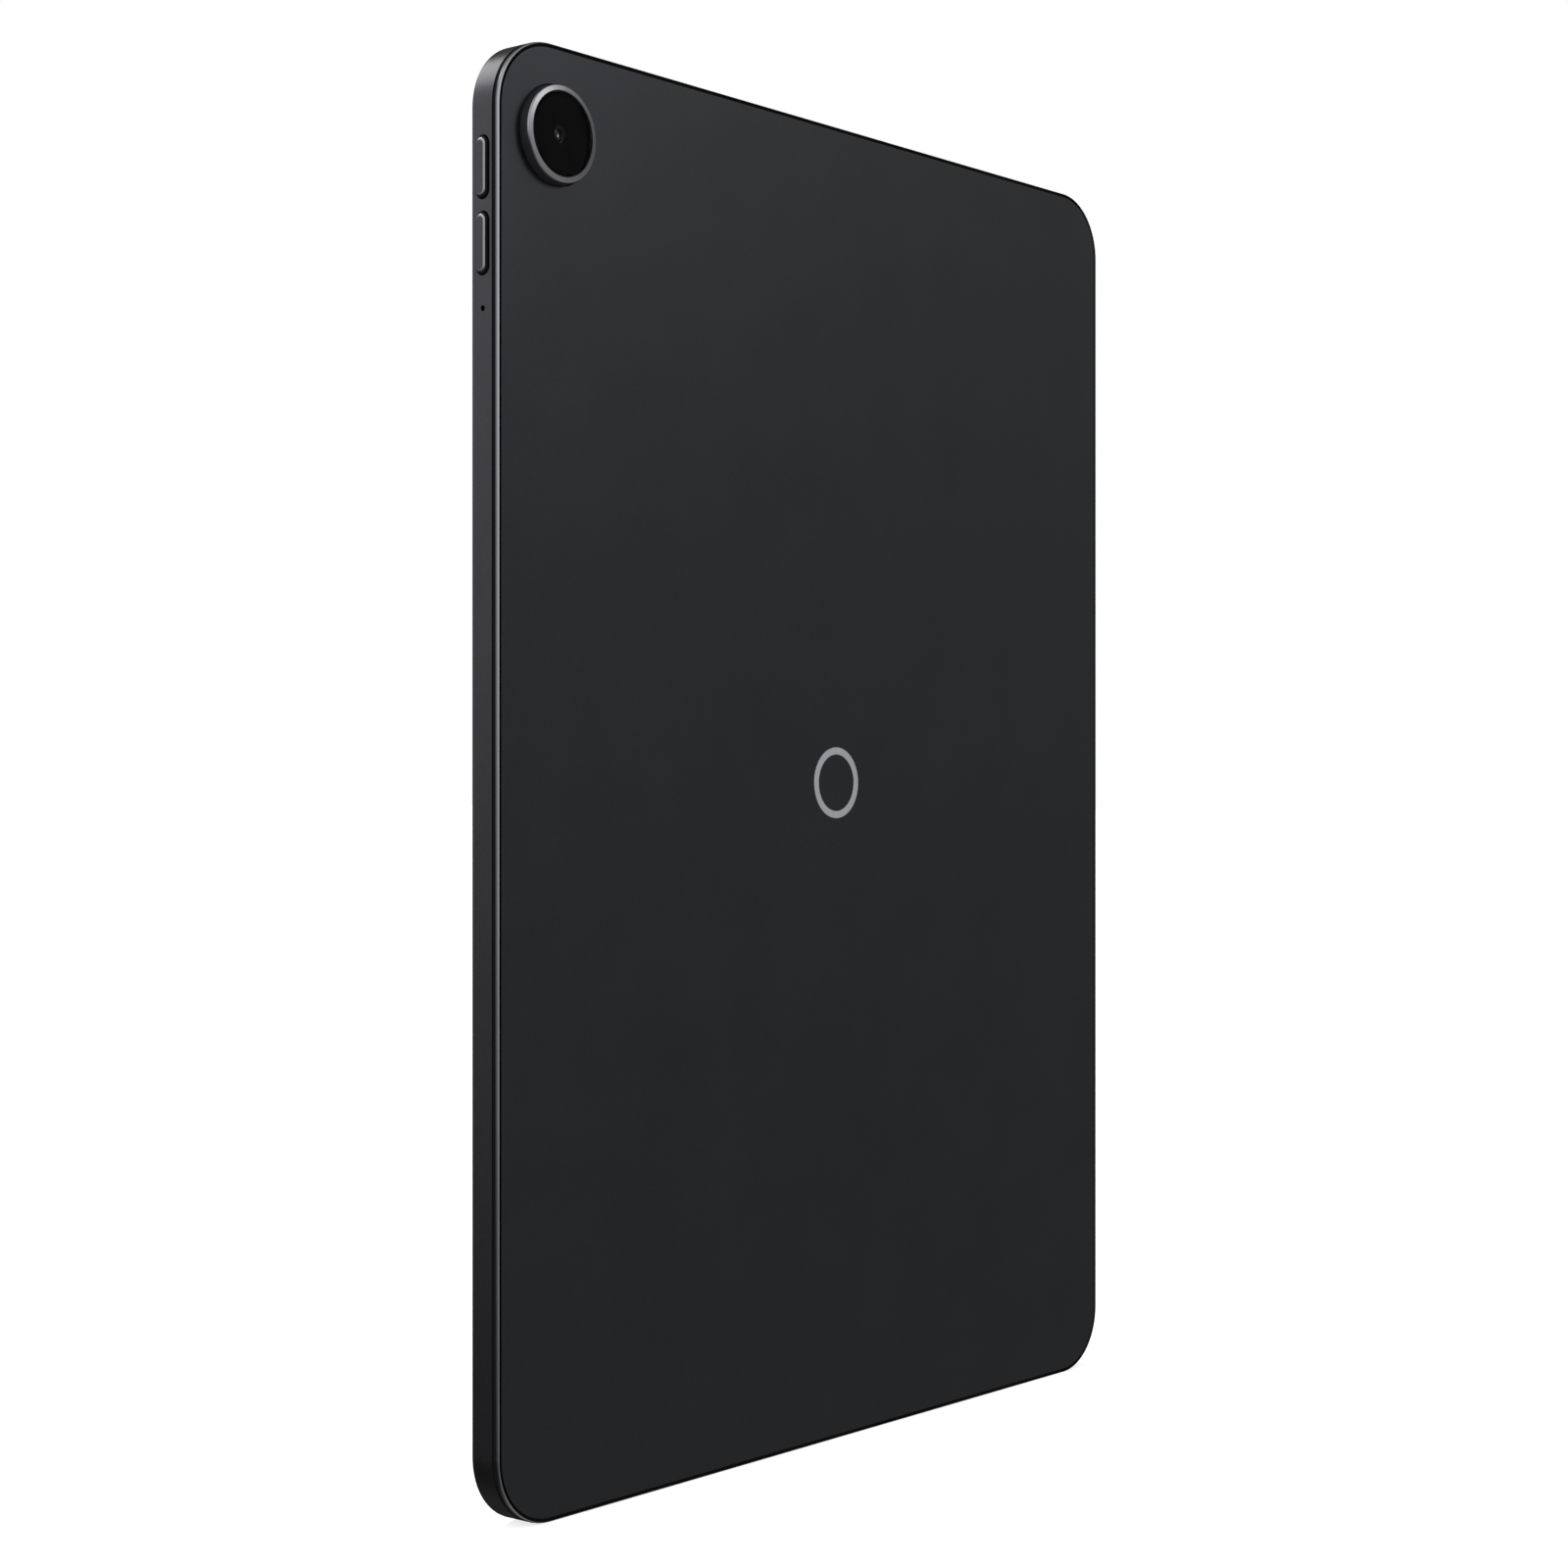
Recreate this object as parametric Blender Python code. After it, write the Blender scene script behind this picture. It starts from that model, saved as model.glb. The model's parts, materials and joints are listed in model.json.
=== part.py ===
"""Tablet computer, built as separate sub-parts, in metres.

It stands upright with its long axis along +Z. The back faces -Y and the display glass faces +Y.
+X points to the right as seen from behind, so the volume buttons are on the -X side.
The origin is the centre of the flat back.
"""

from math import cos, pi, sin, sqrt

import bmesh
import bpy
from mathutils import Matrix, Vector

MM = 0.001

# Clearances
GAP = 0.30 * MM  # between pieces that are dropped in or screwed down
BOND = 0.10 * MM  # on each side of glue lines and laminated films
MOVE_GAP = 0.25 * MM  # round a button or tray that slides in its slot

# Outer shape
WIDTH = 192.8 * MM
HEIGHT = 266.0 * MM
DEPTH = 6.8 * MM
CORNER = 13.4 * MM  # reach of a corner along each side, from the sharp corner
CORNER_POWER = 2.05  # superellipse power of the corner
CORNER_STEPS = 12

# Side frame section
WALL = 2.4 * MM
CHAMFER_IN = 0.20 * MM
CHAMFER_DEPTH = 0.83 * MM
GROOVE_IN = 0.20 * MM
GROOVE_EASE = 0.10 * MM
GROOVE_END = 1.64 * MM
REAR_LIP = 0.45 * MM
REAR_LEDGE = 3.0 * MM  # reach of the ledge that carries the rear cover, from the outside
REAR_LEDGE_THICK = 0.6 * MM
FRONT_LIP = 1.1 * MM
FRONT_EASE = 0.12 * MM
FRONT_EDGE_IN = 0.40 * MM
GLASS_PROUD = 0.10 * MM  # glass above the frame's front edge

# Layers, counted from the back
REAR_THICK = 0.7 * MM
GLASS_THICK = 0.7 * MM
LCD_THICK = 0.7 * MM
DIFFUSER_THICK = 0.2 * MM
LIGHT_GUIDE_THICK = 0.6 * MM
TRAY_WALL = 0.2 * MM
GRAPHITE_THICK = 0.1 * MM
GLUE_THICK = 0.1 * MM

# Display outline, as the margin from the outer sides
PANEL_SIDE_MARGIN = 6.2 * MM
PANEL_END_MARGIN = 7.1 * MM

# Rear camera
CAMERA_R = 8.8 * MM
CAMERA_SIDE_MARGIN = 5.65 * MM
CAMERA_END_MARGIN = 7.65 * MM
CAMERA_PROUD = 2.05 * MM
CAMERA_GLASS_SUNK = 0.05 * MM
CAMERA_BASE_FLARE = 0.2 * MM
CAMERA_RIM = 1.15 * MM
CAMERA_FLANGE = 1.2 * MM
CAMERA_FLANGE_THICK = 0.5 * MM
CAMERA_GLASS_THICK = 0.75 * MM
CAMERA_GLASS_GAP = 0.15 * MM
CAMERA_SEAL_THICK = 0.15 * MM
CAMERA_LEDGE = 1.25 * MM
CAN_CORNER_GAP = 0.32 * MM  # between the can's corners and the ring's bore
CAN_BACK = -0.2 * MM
CAN_FRONT = 2.4 * MM
BARREL_R = 3.1 * MM
BARREL_BACK = -0.5 * MM
BARREL_FRONT = 2.1 * MM
SENSOR_OVERHANG = 0.5 * MM  # of the camera board past the can
SENSOR_THICK = 0.5 * MM
BRACKET_THICK = 0.3 * MM

# Emblem ring inlaid at the centre of the back
EMBLEM_R = 7.2 * MM
EMBLEM_INNER_R = 5.7 * MM
EMBLEM_THICK = 0.25 * MM
EMBLEM_RECESS = 0.02 * MM

# Side buttons
BUTTON_Y = 3.9 * MM
BUTTON_WIDTH = 2.7 * MM
BUTTON_PROUD = 0.6 * MM
BUTTON_CHAMFER = 0.30 * MM
BUTTON_LIP = 0.45 * MM
BUTTON_LIP_THICK = 0.5 * MM
VOLUME_LENGTH = 10.9 * MM
VOLUME_GAP = 2.6 * MM  # between the two caps
VOLUME_TOP = 18.55 * MM  # from the top side to the first cap
POWER_LENGTH = 12.4 * MM
POWER_FROM_SIDE = 26.0 * MM
DOME_R = 1.5 * MM
DOME_HIGH = 0.25 * MM
SWITCH_FLEX_THICK = 0.2 * MM
SWITCH_FLEX_WIDTH = 3.0 * MM
SWITCH_BRACKET_THICK = 0.5 * MM
BUTTON_TRAVEL = 0.25 * MM
DOME_GAP = 0.15 * MM  # between the pressed cap and the dome

# Openings in the sides
MIC_HOLE_R = 0.5 * MM
SIDE_MIC_BELOW_KEYS = 6.1 * MM  # from the lower cap to the hole
BOTTOM_MIC_X = -18.0 * MM
USB_Y = 3.7 * MM
USB_WIDTH = 8.94 * MM
USB_THICK = 3.26 * MM
USB_WALL = 0.3 * MM
USB_LENGTH = 5.9 * MM
USB_HOLE_GAP = 0.13 * MM
TONGUE_WIDTH = 6.6 * MM
TONGUE_THICK = 0.7 * MM
TONGUE_BASE = 1.0 * MM
TONGUE_BACK_FROM_MOUTH = 0.8 * MM
CARD_X = 20.0 * MM
CARD_CAP_Y = 3.6 * MM
CARD_CAP_LENGTH = 15.6 * MM
CARD_CAP_WIDTH = 2.2 * MM
CARD_CAP_THICK = 1.9 * MM
CARD_TRAY_WIDTH = 12.0 * MM
CARD_TRAY_LENGTH = 16.0 * MM
CARD_TRAY_THICK = 0.6 * MM
CARD_WINDOW = (9.0 * MM, 11.5 * MM)
CARD_PIN_R = 0.45 * MM
CARD_SOCKET_WALL = 0.2 * MM
CAP_RECESS = 0.05 * MM

# Speakers, two at each short side
SPEAKER_FROM_SIDE = 35.0 * MM
SPEAKER_LENGTH = 30.0 * MM
SPEAKER_REACH = 13.0 * MM
SPEAKER_FROM_END = 3.4 * MM
SNOUT_REACH = 2.9 * MM
SNOUT_FRONT = 5.3 * MM
SLOTS_PER_SPEAKER = 5
SLOT_LENGTH = 2.6 * MM
SLOT_WIDTH = 1.3 * MM
SLOT_PITCH = 3.9 * MM
GRILLE_THICK = 0.2 * MM
GRILLE_MARGIN = 1.0 * MM

# Boards and batteries
BOARD_THICK = 0.7 * MM
BOARD_RISE = 1.7 * MM  # rear cover's inner face to the main board
BOARD_BOTTOM_FROM_TOP = 43.0 * MM
BOARD_STRIP = 19.0 * MM
BOARD_TAB_FROM_TOP = 7.0 * MM
BOARD_FROM_RIGHT = 10.0 * MM
TAB_CLEAR = 2.0 * MM
CHIP_THICK = 0.8 * MM
CHIPS = {  # middle of each square chip, and half its side
    "processor_chip": (-34.0 * MM, 6.0 * MM),
    "memory_chip": (-17.0 * MM, 5.5 * MM),
    "radio_chip": (22.0 * MM, 5.0 * MM),
}
SHIELDS = {  # left and right ends
    "processor_shield": (-44.0 * MM, -4.0 * MM),
    "radio_shield": (6.0 * MM, 42.0 * MM),
}
SHIELD_MARGIN = 2.5 * MM  # from the edges of the board
SHIELD_WALL = 0.2 * MM
SHIELD_HIGH = 1.35 * MM
SUB_BOARD_HALF = 28.0 * MM
SUB_BOARD_RISE = 0.6 * MM
SUB_BOARD_THICK = 0.6 * MM
SUB_BOARD_FROM_END = 5.0 * MM
SUB_BOARD_REACH = 24.0 * MM
BATTERY_FROM_TOP = 52.0 * MM
BATTERY_FROM_BOTTOM = 36.0 * MM
BATTERY_SIDE_MARGIN = 9.9 * MM
BATTERY_SPLIT = 2.5 * MM  # half of the lane between the cells
BATTERY_EDGE_R = 0.8 * MM
PROTECTION_FROM_CELLS = 2.0 * MM
GRAPHITE_MARGIN = 10.0 * MM
PROTECTION_LENGTH = 120.0 * MM
PROTECTION_WIDTH = 4.0 * MM
LINK_FLEX_HALF = 1.8 * MM
LINK_PLUG = (5.0 * MM, 2.0 * MM)  # its ends, from the small board's inner edge
LINK_OVERLAP = 6.0 * MM  # of the flexible circuit and the main board
FLEX_THICK = 0.15 * MM

# Screws
SCREW_HEAD_R = 1.2 * MM
SCREW_HEAD_THICK = 0.35 * MM
SCREW_R = 0.6 * MM
SCREW_HOLE_R = 0.8 * MM
BOSS_R = 1.6 * MM
BOSS_CLEAR = 1.0 * MM

# Front camera, at the middle of the long side that holds the volume buttons
FRONT_CAMERA_BASE = 5.5 * MM
FRONT_CAMERA_BASE_THICK = 1.2 * MM
FRONT_CAMERA_R = 1.35 * MM
FRONT_CAMERA_FROM_SIDE = 4.15 * MM

# Radio antennas behind the right side
ANTENNA_Z = 62.0 * MM
ANTENNA_HALF = 20.0 * MM

CUT_OVERRUN = 1.0 * MM  # how far a cutter runs past what it cuts
WELD = 0.1 * MM  # how deep joined shapes run into each other

# Worked out from the sizes above
SIDE = WIDTH / 2
END = HEIGHT / 2
GLASS_BACK = DEPTH - GLASS_THICK
FRONT_LEDGE = GLASS_BACK - 2 * BOND - GLUE_THICK
FRAME_FRONT = DEPTH - GLASS_PROUD
LCD_FRONT = GLASS_BACK - BOND
LCD_BACK = LCD_FRONT - LCD_THICK
DIFFUSER_FRONT = LCD_BACK - 2 * BOND
DIFFUSER_BACK = DIFFUSER_FRONT - DIFFUSER_THICK
LIGHT_GUIDE_FRONT = DIFFUSER_BACK - BOND
LIGHT_GUIDE_BACK = LIGHT_GUIDE_FRONT - LIGHT_GUIDE_THICK
TRAY_BACK = LIGHT_GUIDE_BACK - BOND - TRAY_WALL
GRAPHITE_FRONT = TRAY_BACK - BOND
BAY_FRONT = GRAPHITE_FRONT - GRAPHITE_THICK - BOND
BAY_BACK = REAR_THICK + 2 * BOND
REAR_LEDGE_BACK = REAR_THICK + GAP
REAR_LEDGE_FRONT = REAR_LEDGE_BACK + REAR_LEDGE_THICK
BOARD_BACK = REAR_THICK + BOARD_RISE
BOARD_FRONT = BOARD_BACK + BOARD_THICK
SUB_BACK = REAR_THICK + SUB_BOARD_RISE
SUB_FRONT = SUB_BACK + SUB_BOARD_THICK
PANEL_X = SIDE - PANEL_SIDE_MARGIN
PANEL_Z = END - PANEL_END_MARGIN
CAMERA_X = -SIDE + CAMERA_SIDE_MARGIN + CAMERA_R
CAMERA_Z = END - CAMERA_END_MARGIN - CAMERA_R
CAMERA_BASE_R = CAMERA_R + CAMERA_BASE_FLARE
CAMERA_POCKET_R = CAMERA_R - CAMERA_RIM
CAMERA_BORE_R = CAMERA_POCKET_R - CAMERA_LEDGE
CAMERA_FLANGE_R = CAMERA_BASE_R + CAMERA_FLANGE
CAN_HALF = (CAMERA_BORE_R - CAN_CORNER_GAP) / sqrt(2)
SENSOR_HALF = CAN_HALF + SENSOR_OVERHANG
CAMERA_GLASS_BACK = -CAMERA_PROUD + CAMERA_GLASS_SUNK
CAMERA_GLASS_FRONT = CAMERA_GLASS_BACK + CAMERA_GLASS_THICK
CAMERA_SEAL_BACK = CAMERA_GLASS_FRONT + BOND
CAMERA_LEDGE_Y = CAMERA_SEAL_BACK + CAMERA_SEAL_THICK + BOND
BRACKET_BACK = CAN_FRONT + BOND + SENSOR_THICK + BOND
BOSS_FROM_CAMERA = CAMERA_FLANGE_R + BOSS_R + BOND * 4
VOLUME_UP_Z = END - VOLUME_TOP - VOLUME_LENGTH / 2
VOLUME_DOWN_Z = VOLUME_UP_Z - VOLUME_LENGTH - VOLUME_GAP
SIDE_MIC_Z = VOLUME_DOWN_Z - VOLUME_LENGTH / 2 - SIDE_MIC_BELOW_KEYS
POWER_X = -SIDE + POWER_FROM_SIDE
LIP_OUT = WALL + GAP  # a button's retaining lip, counted inwards from the outer side
LIP_IN = LIP_OUT + BUTTON_LIP_THICK
DOME_TIP = LIP_IN + BUTTON_TRAVEL + DOME_GAP
FLEX_OUT = DOME_TIP + DOME_HIGH
FLEX_IN = FLEX_OUT + SWITCH_FLEX_THICK
SPEAKER_X = SIDE - SPEAKER_FROM_SIDE - SPEAKER_LENGTH / 2
TAB_HALF = SPEAKER_X - SPEAKER_LENGTH / 2 - TAB_CLEAR
BOARD_LEFT = CAMERA_X + BOSS_FROM_CAMERA + BOSS_R + 2 * BOSS_CLEAR
BOARD_RIGHT = SIDE - BOARD_FROM_RIGHT
BOARD_BOTTOM = END - BOARD_BOTTOM_FROM_TOP
BOARD_TOP = BOARD_BOTTOM + BOARD_STRIP
TAB_TOP = END - BOARD_TAB_FROM_TOP
BATTERY_TOP = END - BATTERY_FROM_TOP
BATTERY_BOTTOM = -END + BATTERY_FROM_BOTTOM

FINISHES = {  # base colour, roughness, metallic
    "charcoal_aluminium": ((0.030, 0.031, 0.034), 0.42, 0.85),
    "polished_aluminium": ((0.30, 0.30, 0.32), 0.16, 1.0),
    "button_aluminium": ((0.045, 0.045, 0.050), 0.35, 0.9),
    "black_glass": ((0.004, 0.004, 0.005), 0.04, 0.0),
    "clear_film": ((0.75, 0.78, 0.80), 0.25, 0.0),
    "steel": ((0.48, 0.48, 0.50), 0.3, 1.0),
    "black_plastic": ((0.015, 0.015, 0.016), 0.5, 0.0),
    "black_foam": ((0.01, 0.01, 0.01), 0.9, 0.0),
    "battery_pouch": ((0.12, 0.12, 0.13), 0.4, 0.6),
    "circuit_board": ((0.01, 0.05, 0.03), 0.5, 0.0),
    "chip_resin": ((0.012, 0.012, 0.013), 0.55, 0.0),
    "flex_film": ((0.20, 0.09, 0.02), 0.4, 0.0),
    "graphite": ((0.02, 0.02, 0.022), 0.45, 0.3),
    "copper": ((0.75, 0.33, 0.18), 0.35, 1.0),
}


def clear_scene():
    for old in list(bpy.data.objects):
        bpy.data.objects.remove(old, do_unlink=True)


def finish(name):
    """The named material, made on first use."""
    found = bpy.data.materials.get(name)
    if found:
        return found
    colour, roughness, metallic = FINISHES[name]
    made = bpy.data.materials.new(name)
    made.use_nodes = True
    shader = made.node_tree.nodes["Principled BSDF"]
    shader.inputs["Base Color"].default_value = (*colour, 1.0)
    shader.inputs["Roughness"].default_value = roughness
    shader.inputs["Metallic"].default_value = metallic
    return made


def add(name, bm, material, at=(0, 0, 0), turn=None):
    """Put a finished bmesh into the scene as one object."""
    bmesh.ops.recalc_face_normals(bm, faces=bm.faces)
    mesh = bpy.data.meshes.new(name)
    bm.to_mesh(mesh)
    bm.free()
    if material:
        mesh.materials.append(finish(material))
    mesh.shade_smooth()
    mesh.set_sharp_from_angle(angle=pi / 6)
    obj = bpy.data.objects.new(name, mesh)
    obj.location = at
    if turn:
        obj.rotation_euler = turn
    bpy.context.scene.collection.objects.link(obj)
    return obj


def boolean(obj, tool, operation="DIFFERENCE"):
    """Combine obj with a helper shape, which stays in the scene but is never part of the model."""
    tool.hide_render = True
    tool.display_type = "WIRE"
    modifier = obj.modifiers.new(f"{operation.lower()}_{tool.name}", "BOOLEAN")
    modifier.operation = operation
    modifier.solver = "EXACT"
    modifier.object = tool
    return obj


def outline(inset):
    """Points (x, z) round the body, the same distance inside its outer side everywhere.

    Each corner is a quarter of a superellipse, so its curve runs on smoothly from the sides.
    """
    points = []
    for quarter in range(4):
        turn = Matrix.Rotation(quarter * pi / 2, 2)
        wide, tall = (SIDE, END) if quarter % 2 == 0 else (END, SIDE)
        for step in range(CORNER_STEPS + 1):
            angle = step / CORNER_STEPS * pi / 2
            u, v = (max(part, 0.0) ** (2 / CORNER_POWER) for part in (cos(angle), sin(angle)))
            slope = Vector((u ** (CORNER_POWER - 1), v ** (CORNER_POWER - 1))).normalized()
            corner = Vector((wide - CORNER + CORNER * u, tall - CORNER + CORNER * v))
            points.append(turn @ (corner - slope * inset))
    return points


def rings(loops):
    """A bmesh skin over equal loops of 3-D points, each joined to the next and the last to the first."""
    bm = bmesh.new()
    rows = [[bm.verts.new(point) for point in loop] for loop in loops]
    for here, there in zip(rows, rows[1:] + rows[:1]):
        for i in range(len(here)):
            j = (i + 1) % len(here)
            bm.faces.new((here[i], here[j], there[j], there[i]))
    return bm


def stack(loops):
    """A bmesh skin over equal loops, closed by a flat face at each end."""
    bm = bmesh.new()
    rows = [[bm.verts.new(point) for point in loop] for loop in loops]
    for here, there in zip(rows, rows[1:]):
        for i in range(len(here)):
            j = (i + 1) % len(here)
            bm.faces.new((here[i], here[j], there[j], there[i]))
    bm.faces.new(rows[0])
    bm.faces.new(rows[-1])
    return bm


def body_ring(name, section, material):
    """A frame round the whole body. section lists (inset, y) points of its closed cross-section."""
    loops = [[(x, y, z) for x, z in outline(inset)] for inset, y in section]
    return add(name, rings(loops), material)


def body_plate(name, inset, back, front, material):
    """A plate with the body's own outline."""
    loops = [[(x, y, z) for x, z in outline(inset)] for y in (0, front - back)]
    return add(name, stack(loops), material, at=(0, back, 0))


def block(name, low, high, material):
    """A cuboid from its lowest to its highest corner."""
    low, high = Vector(low), Vector(high)
    bm = bmesh.new()
    bmesh.ops.create_cube(bm, size=1, matrix=Matrix.Diagonal((*(high - low), 1)))
    return add(name, bm, material, at=(low + high) / 2)


def sheet(name, points, back, front, material):
    """A flat piece of any outline, given as (x, z) points."""
    loops = [[(x, y, z) for x, z in points] for y in (0, front - back)]
    return add(name, stack(loops), material, at=(0, back, 0))


def disc(name, radius, back, front, x, z, material, sides=24):
    """A round plate or pin along Y."""
    spots = [2 * pi * i / sides for i in range(sides)]
    loops = [[(radius * cos(a), y, radius * sin(a)) for a in spots] for y in (0, front - back)]
    return add(name, stack(loops), material, at=(x, back, z))


def turned(name, profile, x, z, material, sides=48):
    """A ring turned about an axis along Y. profile lists (radius, y) points of its closed section."""
    spots = [2 * pi * i / sides for i in range(sides)]
    loops = [[(r * cos(a), y, r * sin(a)) for a in spots] for r, y in profile]
    return add(name, rings(loops), material, at=(x, 0, z))


def oblong(length, width, sides=8):
    """Points of a slot with round ends, lying along the first axis."""
    reach = (length - width) / 2
    points = []
    for end in (1, -1):
        for i in range(sides + 1):
            angle = (i / sides - 0.5) * pi + (0 if end > 0 else pi)
            points.append((end * reach + width / 2 * cos(angle), width / 2 * sin(angle)))
    return points


def oblong_stack(name, sections, material, at, turn, sides=8):
    """A piece of oblong cross-sections (length, width, height), each at its height along local Z."""
    loops = [[(a, b, high) for a, b in oblong(long, wide, sides)] for long, wide, high in sections]
    return add(name, stack(loops), material, at=at, turn=turn)


# Turns that lay an oblong stack on a side of the body: its length along the side, its height outwards.
ON_LEFT_SIDE = (0, -pi / 2, 0)
ON_TOP_SIDE = (0, 0, 0)
ON_BOTTOM_SIDE = (pi, 0, 0)


def side_spot(side, along, y, out):
    """The point at a distance out (negative is inside) from the middle of a side's outer face."""
    return {
        ON_LEFT_SIDE: (-SIDE - out, y, along),
        ON_TOP_SIDE: (along, y, END + out),
        ON_BOTTOM_SIDE: (along, y, -END - out),
    }[side]


def side_cutter(name, side, along, y, length, width, sides=8):
    """An oblong cutter through the frame's wall."""
    deep, out = WALL + REAR_LEDGE, CUT_OVERRUN
    sections = [(length, width, -deep), (length, width, out)]
    if side == ON_LEFT_SIDE:
        loops = [[(-high, b, a) for a, b in oblong(long, wide, sides)] for long, wide, high in sections]
        return add(name, stack(loops), None, at=side_spot(side, along, y, 0))
    return oblong_stack(name, sections, None, side_spot(side, along, y, 0), side, sides)


def side_frame():
    """The metal frame round the edge, with its groove, polished chamfer and openings."""
    section = [
        (CHAMFER_IN, 0),
        (0, CHAMFER_DEPTH),
        (GROOVE_IN, CHAMFER_DEPTH + GROOVE_EASE),
        (GROOVE_IN, GROOVE_END - GROOVE_EASE),
        (0, GROOVE_END),
        (0, FRAME_FRONT - FRONT_EDGE_IN),
        (FRONT_EASE, FRAME_FRONT - FRONT_EASE),
        (FRONT_EDGE_IN, FRAME_FRONT),
        (FRONT_LIP, FRAME_FRONT),
        (FRONT_LIP, FRONT_LEDGE),
        (WALL, FRONT_LEDGE),
        (WALL, REAR_LEDGE_FRONT),
        (REAR_LEDGE, REAR_LEDGE_FRONT),
        (REAR_LEDGE, REAR_LEDGE_BACK),
        (REAR_LIP, REAR_LEDGE_BACK),
        (REAR_LIP, 0),
    ]
    frame = body_ring("side_frame", section, "charcoal_aluminium")
    slot = BUTTON_WIDTH + 2 * MOVE_GAP
    usb = (USB_WIDTH + 2 * USB_HOLE_GAP, USB_THICK + 2 * USB_HOLE_GAP)
    card = (CARD_CAP_LENGTH + 2 * MOVE_GAP, CARD_CAP_WIDTH + 2 * MOVE_GAP)
    cuts = [
        ("volume_up_slot", ON_LEFT_SIDE, VOLUME_UP_Z, BUTTON_Y, VOLUME_LENGTH + 2 * MOVE_GAP, slot),
        ("volume_down_slot", ON_LEFT_SIDE, VOLUME_DOWN_Z, BUTTON_Y, VOLUME_LENGTH + 2 * MOVE_GAP, slot),
        ("power_slot", ON_TOP_SIDE, POWER_X, BUTTON_Y, POWER_LENGTH + 2 * MOVE_GAP, slot),
        ("usb_slot", ON_BOTTOM_SIDE, 0, USB_Y, *usb),
        ("card_slot", ON_BOTTOM_SIDE, CARD_X, CARD_CAP_Y, *card),
    ]
    for name, side, along, y, length, width in cuts:
        boolean(frame, side_cutter(name, side, along, y, length, width))
    for name, side, along in (
        ("side_mic_hole", ON_LEFT_SIDE, SIDE_MIC_Z),
        ("bottom_mic_hole", ON_BOTTOM_SIDE, BOTTOM_MIC_X),
    ):
        size = (2 * MIC_HOLE_R + WELD, 2 * MIC_HOLE_R)
        boolean(frame, side_cutter(name, side, along, BUTTON_Y, *size, 4))
    for side, where in ((ON_TOP_SIDE, "top"), (ON_BOTTOM_SIDE, "bottom")):
        for hand, centre in (("left", -SPEAKER_X), ("right", SPEAKER_X)):
            for i in range(SLOTS_PER_SPEAKER):
                along = centre + (i - (SLOTS_PER_SPEAKER - 1) / 2) * SLOT_PITCH
                name = f"speaker_slot_{where}_{hand}_{i + 1}"
                boolean(frame, side_cutter(name, side, along, BUTTON_Y, SLOT_LENGTH, SLOT_WIDTH, 4))
    return frame


def screw_spots():
    """Every screw: name, x, z, the back and front of what it clamps."""
    board, sub = (BOARD_BACK, BOARD_FRONT), (SUB_BACK, SUB_FRONT)
    bracket = (BRACKET_BACK, BRACKET_BACK + BRACKET_THICK)
    edge = SCREW_HEAD_R + BOSS_CLEAR
    sub_top = -END + SUB_BOARD_FROM_END + SUB_BOARD_REACH
    return [
        ("main_board_screw_left", BOARD_LEFT + edge, BOARD_BOTTOM + edge, *board),
        ("main_board_screw_right", BOARD_RIGHT - edge, BOARD_BOTTOM + edge, *board),
        ("sub_board_screw", -SUB_BOARD_HALF + edge, sub_top - edge, *sub),
        ("camera_screw_right", CAMERA_X + BOSS_FROM_CAMERA, CAMERA_Z, *bracket),
        ("camera_screw_lower", CAMERA_X, CAMERA_Z - BOSS_FROM_CAMERA, *bracket),
    ]


def rear_cover():
    """The flat back plate, with its camera hole, emblem recess and screw bosses."""
    cover = body_plate("rear_cover", REAR_LIP + GAP, 0, REAR_THICK, "charcoal_aluminium")
    for name, x, z, back, _ in screw_spots():
        boss = disc(f"{name}_boss", BOSS_R, REAR_THICK - WELD, back - BOND, x, z, None, 16)
        boolean(cover, boss, "UNION")
    for name, x, z, back, _ in screw_spots():
        hole = disc(f"{name}_boss_hole", SCREW_HOLE_R, REAR_THICK, back + CUT_OVERRUN, x, z, None, 12)
        boolean(cover, hole)
    hole_r = CAMERA_BASE_R + CAMERA_GLASS_GAP
    ends = (-CUT_OVERRUN, REAR_THICK + CUT_OVERRUN)
    hole = disc("camera_hole", hole_r, *ends, CAMERA_X, CAMERA_Z, None, 48)
    boolean(cover, hole)
    floor = EMBLEM_RECESS + EMBLEM_THICK + BOND
    profile = [
        (EMBLEM_INNER_R - BOND, -CUT_OVERRUN),
        (EMBLEM_R + BOND, -CUT_OVERRUN),
        (EMBLEM_R + BOND, floor),
        (EMBLEM_INNER_R - BOND, floor),
    ]
    return boolean(cover, turned("emblem_recess", profile, 0, 0, None))


def emblem():
    """A plain polished ring, inlaid in the back."""
    profile = [
        (EMBLEM_INNER_R, EMBLEM_RECESS),
        (EMBLEM_R, EMBLEM_RECESS),
        (EMBLEM_R, EMBLEM_RECESS + EMBLEM_THICK),
        (EMBLEM_INNER_R, EMBLEM_RECESS + EMBLEM_THICK),
    ]
    turned("emblem_ring", profile, 0, 0, "polished_aluminium")


def glue_lines():
    """The glue under the rear cover and under the display glass."""
    for name, inner, outer, back in (
        ("rear_cover_glue", REAR_LEDGE - BOND, REAR_LIP + 2 * GAP, REAR_THICK + BOND),
        ("display_glue", WALL - BOND, FRONT_LIP + GAP, FRONT_LEDGE + BOND),
    ):
        front = back + GLUE_THICK
        body_ring(name, [(outer, back), (outer, front), (inner, front), (inner, back)], "black_foam")


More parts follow.
